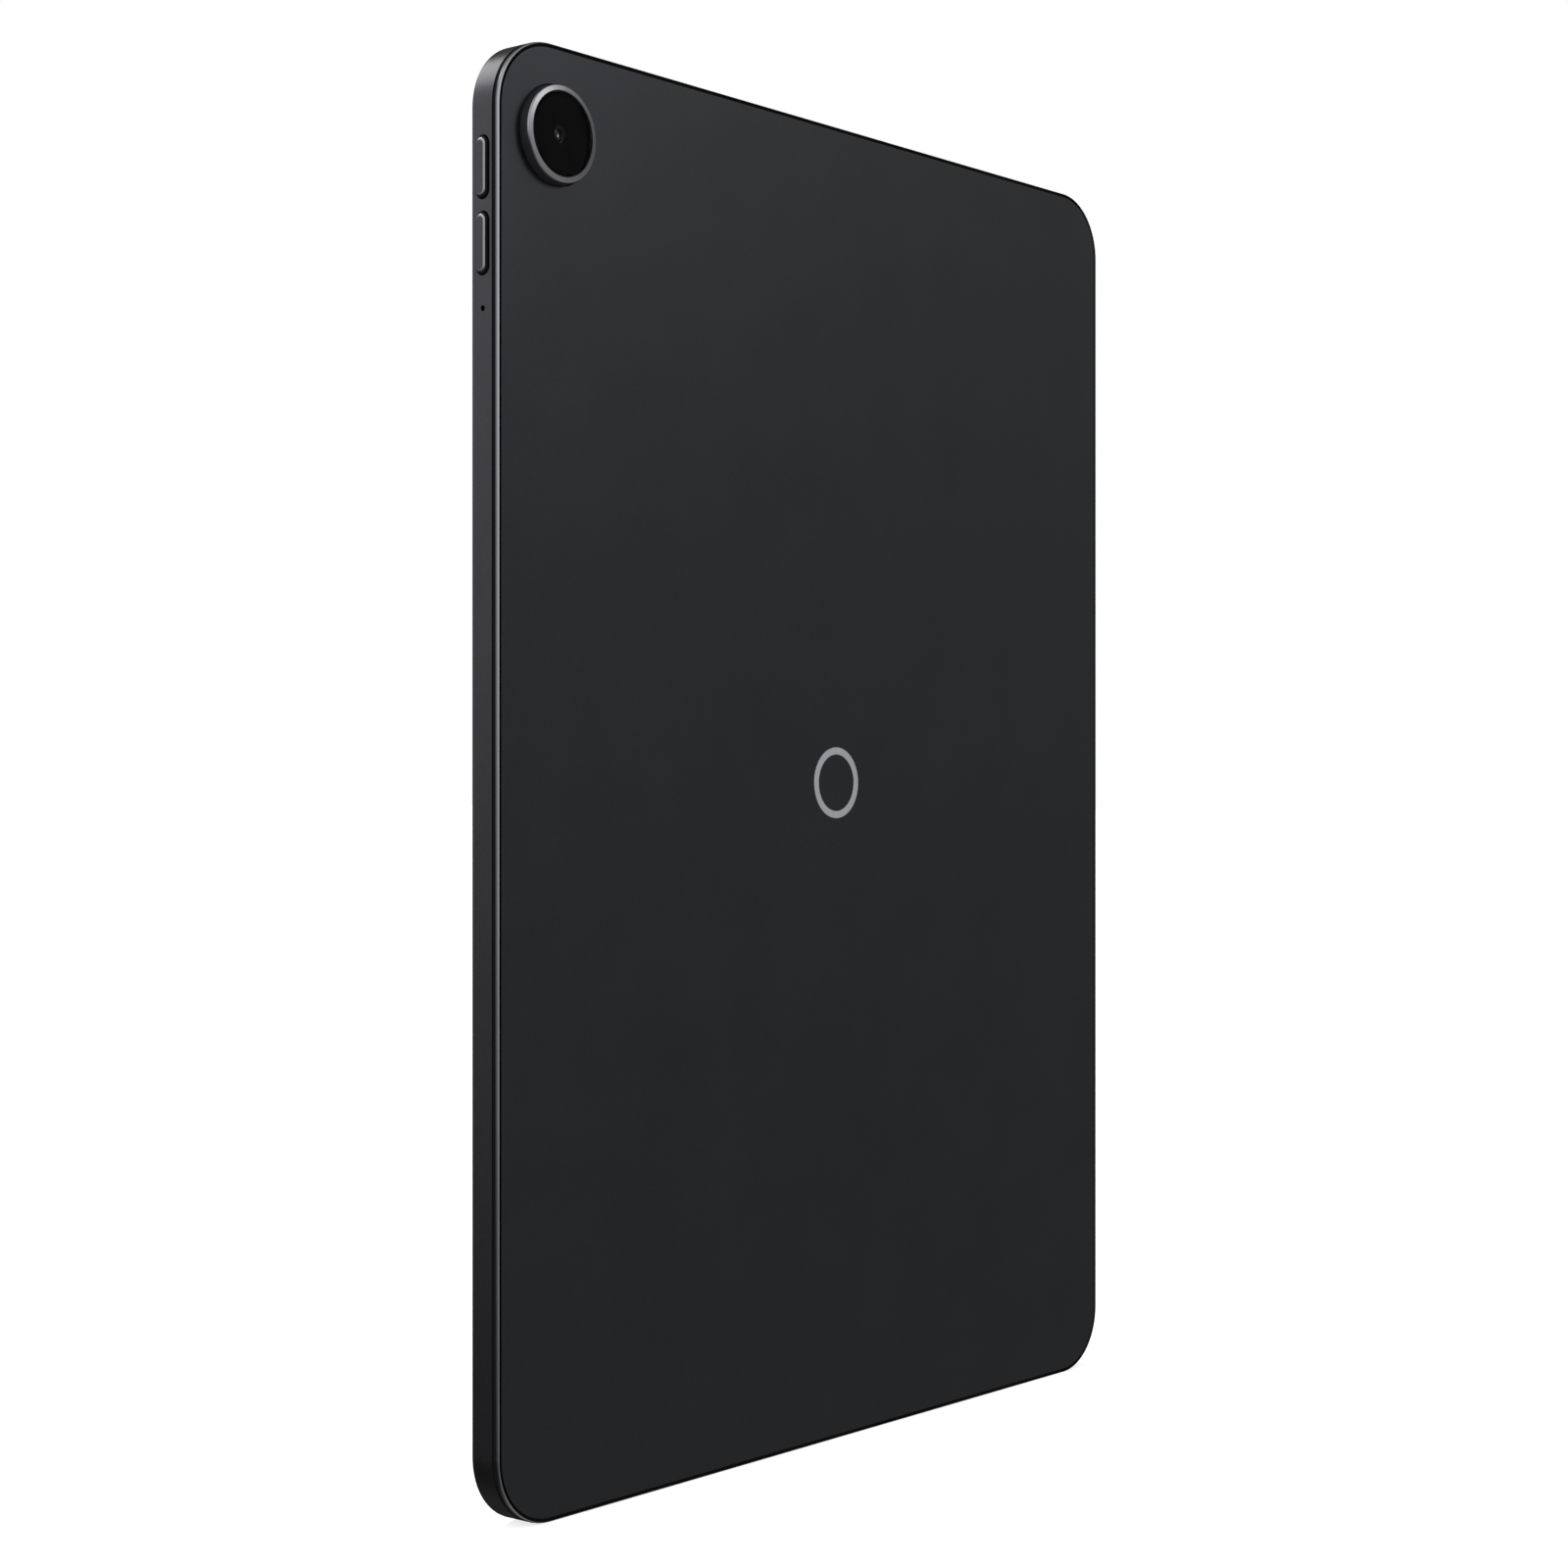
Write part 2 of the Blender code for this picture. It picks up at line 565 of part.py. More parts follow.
def display():
    """The glass, the liquid-crystal panel, its films and the tray that holds them."""
    body_plate("cover_glass", FRONT_LIP + GAP, GLASS_BACK, DEPTH, "black_glass")
    block("lcd_panel", (-PANEL_X, LCD_BACK, -PANEL_Z), (PANEL_X, LCD_FRONT, PANEL_Z), "black_glass")
    inside = (PANEL_X - TRAY_WALL - BOND, PANEL_Z - TRAY_WALL - BOND)
    for name, back, front in (
        ("diffuser_film", DIFFUSER_BACK, DIFFUSER_FRONT),
        ("light_guide_plate", LIGHT_GUIDE_BACK, LIGHT_GUIDE_FRONT),
    ):
        block(name, (-inside[0], back, -inside[1]), (inside[0], front, inside[1]), "clear_film")
    low, high = (-PANEL_X, TRAY_BACK, -PANEL_Z), (PANEL_X, DIFFUSER_FRONT, PANEL_Z)
    tray = block("backlight_tray", low, high, "steel")
    hollow = (PANEL_X - TRAY_WALL, PANEL_Z - TRAY_WALL)
    low = (-hollow[0], TRAY_BACK + TRAY_WALL, -hollow[1])
    high = (hollow[0], DIFFUSER_FRONT + CUT_OVERRUN, hollow[1])
    boolean(tray, block("tray_hollow", low, high, None))
    half, out, fold = TAB_HALF / 2, PANEL_Z + GAP, PANEL_Z + 4 * GAP
    path = [
        (out, LCD_BACK + GAP),
        (fold, LCD_BACK + GAP),
        (fold, BOARD_FRONT + BOND),
        (BOARD_TOP, BOARD_FRONT + BOND),
        (BOARD_TOP, BOARD_FRONT + BOND + FLEX_THICK),
        (fold - FLEX_THICK, BOARD_FRONT + BOND + FLEX_THICK),
        (fold - FLEX_THICK, LCD_BACK + GAP - FLEX_THICK),
        (out, LCD_BACK + GAP - FLEX_THICK),
    ]
    loops = [[(x, y, z) for z, y in path] for x in (-half, half)]
    add("display_flex", stack(loops), "flex_film")


def rear_camera():
    """The camera bump and everything stacked in it. The lens barrel focuses along -Y."""
    profile = [
        (CAMERA_POCKET_R, -CAMERA_PROUD),
        (CAMERA_R - CAMERA_BASE_FLARE, -CAMERA_PROUD),
        (CAMERA_R, -CAMERA_PROUD + CAMERA_BASE_FLARE),
        (CAMERA_BASE_R, 0),
        (CAMERA_BASE_R, REAR_LEDGE_BACK),
        (CAMERA_FLANGE_R, REAR_LEDGE_BACK),
        (CAMERA_FLANGE_R, REAR_LEDGE_BACK + CAMERA_FLANGE_THICK),
        (CAMERA_BORE_R, REAR_LEDGE_BACK + CAMERA_FLANGE_THICK),
        (CAMERA_BORE_R, CAMERA_LEDGE_Y),
        (CAMERA_POCKET_R, CAMERA_LEDGE_Y),
    ]
    turned("camera_ring", profile, CAMERA_X, CAMERA_Z, "charcoal_aluminium")
    glass_r = CAMERA_POCKET_R - CAMERA_GLASS_GAP
    faces = (CAMERA_GLASS_BACK, CAMERA_GLASS_FRONT)
    disc("camera_glass", glass_r, *faces, CAMERA_X, CAMERA_Z, "black_glass", 48)
    seal = [
        (CAMERA_BORE_R + BOND, CAMERA_SEAL_BACK),
        (glass_r, CAMERA_SEAL_BACK),
        (glass_r, CAMERA_SEAL_BACK + CAMERA_SEAL_THICK),
        (CAMERA_BORE_R + BOND, CAMERA_SEAL_BACK + CAMERA_SEAL_THICK),
    ]
    turned("camera_seal", seal, CAMERA_X, CAMERA_Z, "black_foam", 32)
    half = CAN_HALF
    low = (CAMERA_X - half, CAN_BACK, CAMERA_Z - half)
    can = block("voice_coil_can", low, (CAMERA_X + half, CAN_FRONT, CAMERA_Z + half), "steel")
    bore_ends = (CAN_BACK - CUT_OVERRUN, CAN_FRONT + CUT_OVERRUN)
    boolean(can, disc("can_bore", BARREL_R + GAP, *bore_ends, CAMERA_X, CAMERA_Z, None))
    disc("lens_barrel", BARREL_R, BARREL_BACK, BARREL_FRONT, CAMERA_X, CAMERA_Z, "black_plastic", 32)
    board, back = SENSOR_HALF, CAN_FRONT + BOND
    low = (CAMERA_X - board, back, CAMERA_Z - board)
    high = (CAMERA_X + board, back + SENSOR_THICK, CAMERA_Z + board)
    block("camera_board", low, high, "circuit_board")
    camera_bracket(board + 4 * BOND)
    camera_flex(board)


def camera_bracket(half):
    """A thin steel plate over the camera board, with an ear for each screw."""
    ear, reach = SCREW_HEAD_R + 2 * BOND, BOSS_FROM_CAMERA + SCREW_HEAD_R + 2 * BOND
    spots = [
        (-half, half), (-half, -half), (-ear, -half), (-ear, -reach), (ear, -reach), (ear, -half),
        (half, -half), (half, -ear), (reach, -ear), (reach, ear), (half, ear), (half, half),
    ]
    points = [(CAMERA_X + x, CAMERA_Z + z) for x, z in spots]
    front = BRACKET_BACK + BRACKET_THICK
    bracket = sheet("camera_bracket", points, BRACKET_BACK, front, "steel")
    screw_holes(bracket, "camera_screw")


def camera_flex(board):
    """The flexible circuit from the camera board down and across to the main board."""
    left, right = CAMERA_X + BOSS_R + 3 * BOND, CAMERA_X + board
    top = CAMERA_Z - board - 5 * BOND
    low, high = BOARD_TOP - 2 * BOSS_R - BOSS_CLEAR, BOARD_TOP - BOSS_R
    points = [
        (left, top), (left, low), (BOARD_LEFT - GAP, low),
        (BOARD_LEFT - GAP, high), (right, high), (right, top),
    ]
    back = CAN_FRONT + 2 * BOND
    sheet("camera_flex", points, back, back + FLEX_THICK, "flex_film")


def screw_holes(obj, kind):
    """Cut a clearance hole for each screw of this kind."""
    for name, x, z, back, front in screw_spots():
        if name.startswith(kind):
            ends = (back - CUT_OVERRUN, front + CUT_OVERRUN)
            boolean(obj, disc(f"{name}_hole", SCREW_HOLE_R, *ends, x, z, None, 12))


def screws():
    """Pan-head screws, driven in from the display side."""
    for name, x, z, back, front in screw_spots():
        tip = max(REAR_THICK + BOND, back - 2 * BOSS_R)
        under = front + BOND
        sides = 12
        spots = [2 * pi * i / sides for i in range(sides)]
        top = under + SCREW_HEAD_THICK
        sections = ((SCREW_R, tip), (SCREW_R, under), (SCREW_HEAD_R, under), (SCREW_HEAD_R, top))
        loops = [[(r * cos(a), y - front, r * sin(a)) for a in spots] for r, y in sections]
        add(name, stack(loops), "steel", at=(x, front, z))


def button(name, side, along, length):
    """A sliding key: a chamfered cap in the slot and a wider lip behind the wall."""
    cap, lip = (length, BUTTON_WIDTH), (length + 2 * BUTTON_LIP, BUTTON_WIDTH + 2 * BUTTON_LIP)
    sections = [
        (*lip, -LIP_IN),
        (*lip, -LIP_OUT),
        (*cap, -LIP_OUT),
        (*cap, BUTTON_PROUD - BUTTON_CHAMFER),
        (length - 2 * BUTTON_CHAMFER, BUTTON_WIDTH - 2 * BUTTON_CHAMFER, BUTTON_PROUD),
    ]
    spot = side_spot(side, along, BUTTON_Y, 0)
    if side == ON_LEFT_SIDE:
        loops = [[(-high, b, a) for a, b in oblong(long, wide)] for long, wide, high in sections]
        return add(name, stack(loops), "button_aluminium", at=spot)
    return oblong_stack(name, sections, "button_aluminium", spot, side)


def side_strip(name, side, start, end, outer, inner, width, material):
    """A flat strip that stands behind the wall of a side, between two distances from its outer face."""
    low_y, high_y = BUTTON_Y - width / 2, BUTTON_Y + width / 2
    if side == ON_LEFT_SIDE:
        return block(name, (-SIDE + outer, low_y, start), (-SIDE + inner, high_y, end), material)
    if side == ON_TOP_SIDE:
        return block(name, (start, low_y, END - inner), (end, high_y, END - outer), material)
    return block(name, (start, low_y, -END + outer), (end, high_y, -END + inner), material)


def dome(name, side, along):
    """The snap dome under a button, as a shape to join to its flexible circuit."""
    tip, root, sides = DOME_TIP, FLEX_OUT + WELD, 16
    spots = [2 * pi * i / sides for i in range(sides)]
    loops = []
    for inset, radius in ((root, DOME_R), (FLEX_OUT, DOME_R), (tip, DOME_R / 2)):
        ring = [(radius * cos(a), radius * sin(a)) for a in spots]
        if side == ON_LEFT_SIDE:
            loops.append([(inset, b, a) for a, b in ring])
        else:
            loops.append([(a, b, -inset) for a, b in ring])
    return add(name, stack(loops), None, at=side_spot(side, along, BUTTON_Y, 0))


def keys():
    """Volume and power buttons, their switch circuits and the brackets behind them."""
    button("volume_up_button", ON_LEFT_SIDE, VOLUME_UP_Z, VOLUME_LENGTH)
    button("volume_down_button", ON_LEFT_SIDE, VOLUME_DOWN_Z, VOLUME_LENGTH)
    button("power_button", ON_TOP_SIDE, POWER_X, POWER_LENGTH)
    volume_top, volume_end = VOLUME_UP_Z + VOLUME_LENGTH / 2, VOLUME_DOWN_Z - VOLUME_LENGTH / 2
    mic_end = SIDE_MIC_Z - MIC_HOLE_R * 4
    power = (POWER_X - POWER_LENGTH / 2, POWER_X + POWER_LENGTH / 2)
    wide, film = SWITCH_FLEX_WIDTH, (FLEX_OUT, FLEX_IN)
    volume = side_strip("volume_flex", ON_LEFT_SIDE, mic_end, volume_top, *film, wide, "flex_film")
    boolean(volume, dome("volume_up_dome", ON_LEFT_SIDE, VOLUME_UP_Z), "UNION")
    boolean(volume, dome("volume_down_dome", ON_LEFT_SIDE, VOLUME_DOWN_Z), "UNION")
    switch = side_strip("power_flex", ON_TOP_SIDE, *power, *film, wide, "flex_film")
    boolean(switch, dome("power_dome", ON_TOP_SIDE, POWER_X), "UNION")
    outer, inner = FLEX_IN + BOND, FLEX_IN + BOND + SWITCH_BRACKET_THICK
    side_strip("volume_bracket", ON_LEFT_SIDE, volume_end, volume_top, outer, inner, wide, "steel")
    side_strip("power_bracket", ON_TOP_SIDE, *power, outer, inner, wide, "steel")


def microphones():
    """A microphone behind each small hole."""
    half, outer, inner = 3.2 * MIC_HOLE_R, WALL + GAP, FLEX_OUT - BOND
    width = BUTTON_WIDTH - 2 * BOND
    ends = (SIDE_MIC_Z - half, SIDE_MIC_Z + half)
    side_strip("side_microphone", ON_LEFT_SIDE, *ends, outer, inner, width, "steel")
    ends = (BOTTOM_MIC_X - half, BOTTOM_MIC_X + half)
    side_strip("bottom_microphone", ON_BOTTOM_SIDE, *ends, outer, inner, width, "steel")


def speakers():
    """Four speaker boxes, each with a snout behind its slots and a mesh over them."""
    for where, side, up in (("top", ON_TOP_SIDE, 1), ("bottom", ON_BOTTOM_SIDE, -1)):
        for hand, centre in (("left", -SPEAKER_X), ("right", SPEAKER_X)):
            name, half = f"speaker_{where}_{hand}", SPEAKER_LENGTH / 2
            outer = up * (END - SPEAKER_FROM_END)
            inner = up * (END - SPEAKER_FROM_END - SPEAKER_REACH)
            low, high = min(outer, inner), max(outer, inner)
            ends = (centre - half, centre + half)
            box = block(name, (ends[0], BAY_BACK, low), (ends[1], BAY_FRONT, high), "black_plastic")
            reach = up * (END - SPEAKER_FROM_END - SNOUT_REACH)
            tip = outer - up * WELD
            snout_half = (SLOTS_PER_SPEAKER * SLOT_PITCH) / 2
            low_corner = (centre - snout_half, BAY_FRONT - 5 * WELD, min(reach, tip))
            high_corner = (centre + snout_half, SNOUT_FRONT, max(reach, tip))
            boolean(box, block(f"{name}_snout", low_corner, high_corner, None), "UNION")
            grille_half = (SLOTS_PER_SPEAKER - 1) / 2 * SLOT_PITCH + SLOT_LENGTH / 2 + GRILLE_MARGIN
            spot, width = WALL + 2 * BOND, SLOT_WIDTH + 2 * GRILLE_MARGIN
            ends = (centre - grille_half, centre + grille_half)
            mesh = (spot, spot + GRILLE_THICK, width)
            side_strip(f"speaker_mesh_{where}_{hand}", side, *ends, *mesh, "steel")


def usb_port():
    """The socket at the middle of the bottom side: a metal shell round a tongue."""
    at = side_spot(ON_BOTTOM_SIDE, 0, USB_Y, 0)
    mouth, back = -MOVE_GAP, -MOVE_GAP - USB_LENGTH
    inner = (USB_WIDTH - 2 * USB_WALL, USB_THICK - 2 * USB_WALL)
    outer = (USB_WIDTH, USB_THICK)
    sections = [(*outer, mouth), (*outer, back), (*inner, back), (*inner, mouth)]
    loops = [[(a, b, high) for a, b in oblong(long, wide)] for long, wide, high in sections]
    add("usb_shell", rings(loops), "steel", at=at, turn=ON_BOTTOM_SIDE)
    base = (inner[0] - 4 * BOND, inner[1] - 4 * BOND)
    step = back + TONGUE_BASE
    blade = (TONGUE_WIDTH, TONGUE_THICK)
    sections = [(*base, back), (*base, step), (*blade, step), (*blade, mouth - TONGUE_BACK_FROM_MOUTH)]
    oblong_stack("usb_tongue", sections, "black_plastic", at, ON_BOTTOM_SIDE, 4)


def card_slot():
    """The card tray, which slides out along -Z, and its socket on the lower board."""
    out = -CAP_RECESS
    cap = (CARD_CAP_LENGTH, CARD_CAP_WIDTH)
    sections = [(*cap, out - CARD_CAP_THICK), (*cap, out)]
    at = side_spot(ON_BOTTOM_SIDE, CARD_X, CARD_CAP_Y, 0)
    tray = oblong_stack("card_tray", sections, "charcoal_aluminium", at, ON_BOTTOM_SIDE)
    plate_back = CARD_CAP_Y - CARD_CAP_WIDTH / 2 + BOND
    plate_front = plate_back + CARD_TRAY_THICK
    root = -END + CAP_RECESS + CARD_CAP_THICK - 3 * WELD
    half, tip = CARD_TRAY_WIDTH / 2, root + CARD_TRAY_LENGTH
    low, high = (CARD_X - half, plate_back, root), (CARD_X + half, plate_front, tip)
    boolean(tray, block("card_tray_plate", low, high, None), "UNION")
    window, long = CARD_WINDOW[0] / 2, CARD_WINDOW[1]
    start = (root + tip - long) / 2 + 3 * WELD
    low = (CARD_X - window, plate_back - CUT_OVERRUN, start)
    high = (CARD_X + window, plate_front + CUT_OVERRUN, start + long)
    boolean(tray, block("card_window", low, high, None))
    pin_x = (CARD_CAP_LENGTH - CARD_CAP_WIDTH) / 2
    at = side_spot(ON_BOTTOM_SIDE, CARD_X + pin_x, CARD_CAP_Y, 0)
    pin = [(2 * CARD_PIN_R + WELD, 2 * CARD_PIN_R, -CARD_CAP_THICK - CUT_OVERRUN)]
    pin.append((2 * CARD_PIN_R + WELD, 2 * CARD_PIN_R, CUT_OVERRUN))
    boolean(tray, oblong_stack("eject_hole", pin, None, at, ON_BOTTOM_SIDE, 4))
    mouth, wall = -END + WALL + 3 * GAP, CARD_SOCKET_WALL
    side, deep = half + GAP, tip + GAP
    low = (CARD_X - side - wall, plate_back - GAP - wall, mouth)
    high = (CARD_X + side + wall, plate_front + GAP + wall, deep + wall)
    socket = block("card_socket", low, high, "steel")
    low = (CARD_X - side, plate_back - GAP, mouth - CUT_OVERRUN)
    high = (CARD_X + side, plate_front + GAP, deep)
    boolean(socket, block("card_socket_hollow", low, high, None))


def boards():
    """The main board across the top, the small board along the bottom and what sits on them."""
    points = [
        (BOARD_LEFT, BOARD_BOTTOM), (BOARD_RIGHT, BOARD_BOTTOM), (BOARD_RIGHT, BOARD_TOP),
        (TAB_HALF, BOARD_TOP), (TAB_HALF, TAB_TOP), (-TAB_HALF, TAB_TOP),
        (-TAB_HALF, BOARD_TOP), (BOARD_LEFT, BOARD_TOP),
    ]
    main = sheet("main_board", points, BOARD_BACK, BOARD_FRONT, "circuit_board")
    screw_holes(main, "main_board_screw")
    for name, (low_x, high_x) in SHIELDS.items():
        low_z, high_z = BOARD_BOTTOM + SHIELD_MARGIN, BOARD_TOP - SHIELD_MARGIN
        front = BOARD_BACK - BOND
        low, high = (low_x, front - SHIELD_HIGH, low_z), (high_x, front, high_z)
        shield = block(name, low, high, "steel")
        low = (low_x + SHIELD_WALL, front - SHIELD_HIGH + SHIELD_WALL, low_z + SHIELD_WALL)
        high = (high_x - SHIELD_WALL, front + CUT_OVERRUN, high_z - SHIELD_WALL)
        boolean(shield, block(f"{name}_hollow", low, high, None))
    middle = (BOARD_BOTTOM + BOARD_TOP) / 2
    for name, (x, half) in CHIPS.items():
        low = (x - half, BOARD_BACK - BOND - CHIP_THICK, middle - half)
        block(name, low, (x + half, BOARD_BACK - BOND, middle + half), "chip_resin")
    low_z = -END + SUB_BOARD_FROM_END
    high_z = low_z + SUB_BOARD_REACH
    low, high = (-SUB_BOARD_HALF, SUB_BACK, low_z), (SUB_BOARD_HALF, SUB_FRONT, high_z)
    sub = block("sub_board", low, high, "circuit_board")
    plug_low = (-LINK_FLEX_HALF, SUB_FRONT - WELD, high_z - LINK_PLUG[0])
    plug_high = (LINK_FLEX_HALF, BOARD_FRONT, high_z - LINK_PLUG[1])
    boolean(sub, block("link_plug", plug_low, plug_high, None), "UNION")
    screw_holes(sub, "sub_board_screw")
    low = (-LINK_FLEX_HALF, BOARD_FRONT + BOND, plug_low[2])
    high = (LINK_FLEX_HALF, BOARD_FRONT + BOND + FLEX_THICK, BOARD_BOTTOM + LINK_OVERLAP)
    block("board_link_flex", low, high, "flex_film")


def power_pack():
    """Two pouch cells side by side, their protection board and the graphite heat spreader."""
    outer = SIDE - BATTERY_SIDE_MARGIN
    for name, low_x, high_x in (
        ("battery_cell_left", -outer, -BATTERY_SPLIT),
        ("battery_cell_right", BATTERY_SPLIT, outer),
    ):
        low, high = (low_x, BAY_BACK, BATTERY_BOTTOM), (high_x, BAY_FRONT, BATTERY_TOP)
        cell = block(name, low, high, "battery_pouch")
        rounding = cell.modifiers.new("soft_edges", "BEVEL")
        rounding.width = BATTERY_EDGE_R
        rounding.segments = 2
    half = PROTECTION_LENGTH / 2
    low_z = BATTERY_TOP + PROTECTION_FROM_CELLS
    low = (-half, BOARD_BACK - 3 * GAP, low_z)
    block("battery_board", low, (half, BOARD_BACK, low_z + PROTECTION_WIDTH), "circuit_board")
    low = (-outer + GRAPHITE_MARGIN, BAY_FRONT + BOND, BATTERY_BOTTOM + GRAPHITE_MARGIN)
    high = (outer - GRAPHITE_MARGIN, GRAPHITE_FRONT, BATTERY_TOP - GRAPHITE_MARGIN)
    block("graphite_sheet", low, high, "graphite")


def front_camera():
    """The small camera that looks out through the display glass."""
    x, r = -SIDE + FRONT_CAMERA_FROM_SIDE, FRONT_CAMERA_R
    base_front = TRAY_BACK - GAP
    base_back = base_front - FRONT_CAMERA_BASE_THICK
    low_x = -SIDE + REAR_LEDGE + BOND
    low = (low_x, base_back, -FRONT_CAMERA_BASE / 2)
    high = (low_x + FRONT_CAMERA_BASE, base_front, FRONT_CAMERA_BASE / 2)
    camera = block("front_camera", low, high, "black_plastic")
    barrel = disc("front_camera_barrel", r, base_front - WELD, GLASS_BACK - BOND, x, 0, None)
    boolean(camera, barrel, "UNION")


def antennas():
    """Two radio antennas that stand behind the right side."""
    outer, inner = REAR_LEDGE + BOND, REAR_LEDGE + BOND + FLEX_THICK
    for name, z in (("upper_antenna", ANTENNA_Z), ("lower_antenna", -ANTENNA_Z)):
        low = (SIDE - inner, REAR_LEDGE_FRONT + GAP, z - ANTENNA_HALF)
        block(name, low, (SIDE - outer, FRONT_LEDGE - GAP, z + ANTENNA_HALF), "copper")


def main():
    clear_scene()
    side_frame()
    rear_cover()
    emblem()
    glue_lines()
    display()
    rear_camera()
    keys()
    microphones()
    speakers()
    usb_port()
    card_slot()
    boards()
    power_pack()
    front_camera()
    antennas()
    screws()


main()
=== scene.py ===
"""Looks for a slim tablet computer: charcoal metal body, round camera bump, side keys and a glass front.

Everything is made in metres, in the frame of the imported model: +Z up the long side, -Y out of the flat back
and +X to the right as seen from behind. Visible shells are surfaces worked out with numpy; hidden inner parts
keep their solids and get a finish of their own.
"""

import json
import logging
import math
from collections.abc import Iterable, Sequence
from dataclasses import dataclass, field
from enum import Enum

import bmesh
import bpy
import numpy as np
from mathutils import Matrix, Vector


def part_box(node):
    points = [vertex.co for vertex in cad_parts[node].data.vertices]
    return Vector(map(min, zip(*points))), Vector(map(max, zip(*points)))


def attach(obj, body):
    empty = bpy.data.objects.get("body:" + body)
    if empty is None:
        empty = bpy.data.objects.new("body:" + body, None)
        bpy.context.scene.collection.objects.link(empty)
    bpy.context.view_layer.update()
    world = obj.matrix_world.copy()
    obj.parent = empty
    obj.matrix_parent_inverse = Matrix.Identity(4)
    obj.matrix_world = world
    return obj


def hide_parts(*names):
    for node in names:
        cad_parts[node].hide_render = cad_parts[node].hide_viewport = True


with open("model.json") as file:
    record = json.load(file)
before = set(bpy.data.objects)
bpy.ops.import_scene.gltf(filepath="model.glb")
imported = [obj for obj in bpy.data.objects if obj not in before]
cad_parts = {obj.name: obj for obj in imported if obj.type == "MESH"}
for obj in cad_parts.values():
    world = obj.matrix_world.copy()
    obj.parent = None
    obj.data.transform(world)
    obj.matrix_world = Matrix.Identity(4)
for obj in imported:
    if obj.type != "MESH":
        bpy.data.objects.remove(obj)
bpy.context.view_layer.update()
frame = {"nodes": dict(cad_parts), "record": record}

LOG = logging.getLogger("tablet")
MM = 0.001
Array = np.ndarray
Piece = bpy.types.Object
Material = bpy.types.Material
Node = bpy.types.Node
Socket = bpy.types.NodeSocket
Colour = tuple[float, float, float]


# ---------------------------------------------------------------- surfaces


def outward(points: Array, faces: list[list[int]]) -> list[list[int]]:
    """Turn every face round if the closed skin that they make is inside out.

    The signed volume is the sum, over triangles fanned from each face's first corner, of corner one
    dotted with the cross product of the other two. It is negative when the faces look inwards.

    Args:
        points: corner positions, one row each.
        faces: corner numbers of each face.

    Returns:
        The faces, all looking outwards.
    """
    volume = 0.0
    for size in {len(face) for face in faces}:
        part = np.array([face for face in faces if len(face) == size])
        first = points[part[:, 0]]
        for k in range(1, size - 1):
            spans = np.cross(points[part[:, k]], points[part[:, k + 1]])
            volume += float(np.einsum("ij,ij->", first, spans))
    return faces if volume > 0 else [face[::-1] for face in faces]


@dataclass
class Skin:
    """A closed surface in the making.

    finish holds each face's material number, and edge holds how exposed each point is, from 0 in the
    middle of a face to 1 on a worn corner; on the frame's chamfer it holds a painted highlight instead.
    """

    points: Array
    faces: list[list[int]]
    finish: Array
    edge: Array

    @classmethod
    def grid(
        cls,
        points: Array,
        wrap_rows: bool = False,
        caps: tuple[bool, bool] = (False, False),
        finish: int | Array = 0,
        edge: float | Array = 0.0,
    ) -> "Skin":
        """Skin a grid of rows by columns, whose columns always close on themselves.

        Args:
            points: array of rows, columns and three coordinates.
            wrap_rows: join the last row to the first.
            caps: close the first and the last row with one flat face.
            finish: material number, for all or for each row.
            edge: exposure, or a painted highlight, for all or for each row.

        Returns:
            The skin, with its faces looking outwards.
        """
        rows, columns = points.shape[:2]
        index = np.arange(rows * columns).reshape(rows, columns)
        beside, below = np.roll(index, -1, 1), np.roll(index, -1, 0)
        quads = np.stack([index, beside, np.roll(below, -1, 1), below], -1)
        used = rows if wrap_rows else rows - 1
        faces = quads[:used].reshape(-1, 4).tolist()
        row_finish = np.broadcast_to(np.asarray(finish), (rows,))
        numbers = [np.repeat(row_finish[:used], columns)]
        if caps[0]:
            faces.append(index[0][::-1].tolist())
            numbers.append(row_finish[:1])
        if caps[1]:
            faces.append(index[-1].tolist())
            numbers.append(row_finish[-1:])
        exposure = np.repeat(np.broadcast_to(np.asarray(edge, float), (rows,)), columns)
        flat = points.reshape(-1, 3)
        return cls(flat, outward(flat, faces), np.concatenate(numbers), exposure)

    @classmethod
    def join(cls, skins: Iterable["Skin"]) -> "Skin":
        """Put several skins into one, each keeping its own faces."""
        skins = list(skins)
        starts = np.cumsum([0, *(len(skin.points) for skin in skins[:-1])])
        faces = [[i + int(s) for i in face] for skin, s in zip(skins, starts) for face in skin.faces]
        return cls(
            np.concatenate([skin.points for skin in skins]),
            faces,
            np.concatenate([skin.finish for skin in skins]),
            np.concatenate([skin.edge for skin in skins]),
        )

    def build(self, name: str, finishes: Sequence["Finish"], sharp_degrees: float = 32.0) -> Piece:
        """Make the skin a mesh object at the origin.

        Args:
            name: the object's name.
            finishes: in the order of the face numbers.
            sharp_degrees: edges that bend more than this stay crisp.

        Returns:
            The new object.
        """
        mesh = bpy.data.meshes.new(name)
        mesh.from_pydata(self.points.tolist(), [], self.faces)
        for finish in finishes:
            mesh.materials.append(Finishes.get(finish))
        mesh.polygons.foreach_set("material_index", self.finish.astype(np.int32))
        exposure = mesh.attributes.new("edge", "FLOAT", "POINT")
        exposure.data.foreach_set("value", self.edge.astype(np.float32))
        welder = bmesh.new()
        welder.from_mesh(mesh)
        bmesh.ops.remove_doubles(welder, verts=welder.verts, dist=1e-8)
        welder.to_mesh(mesh)
        welder.free()
        piece = bpy.data.objects.new(name, mesh)
        bpy.context.scene.collection.objects.link(piece)
        smooth(piece, sharp_degrees)
        return piece


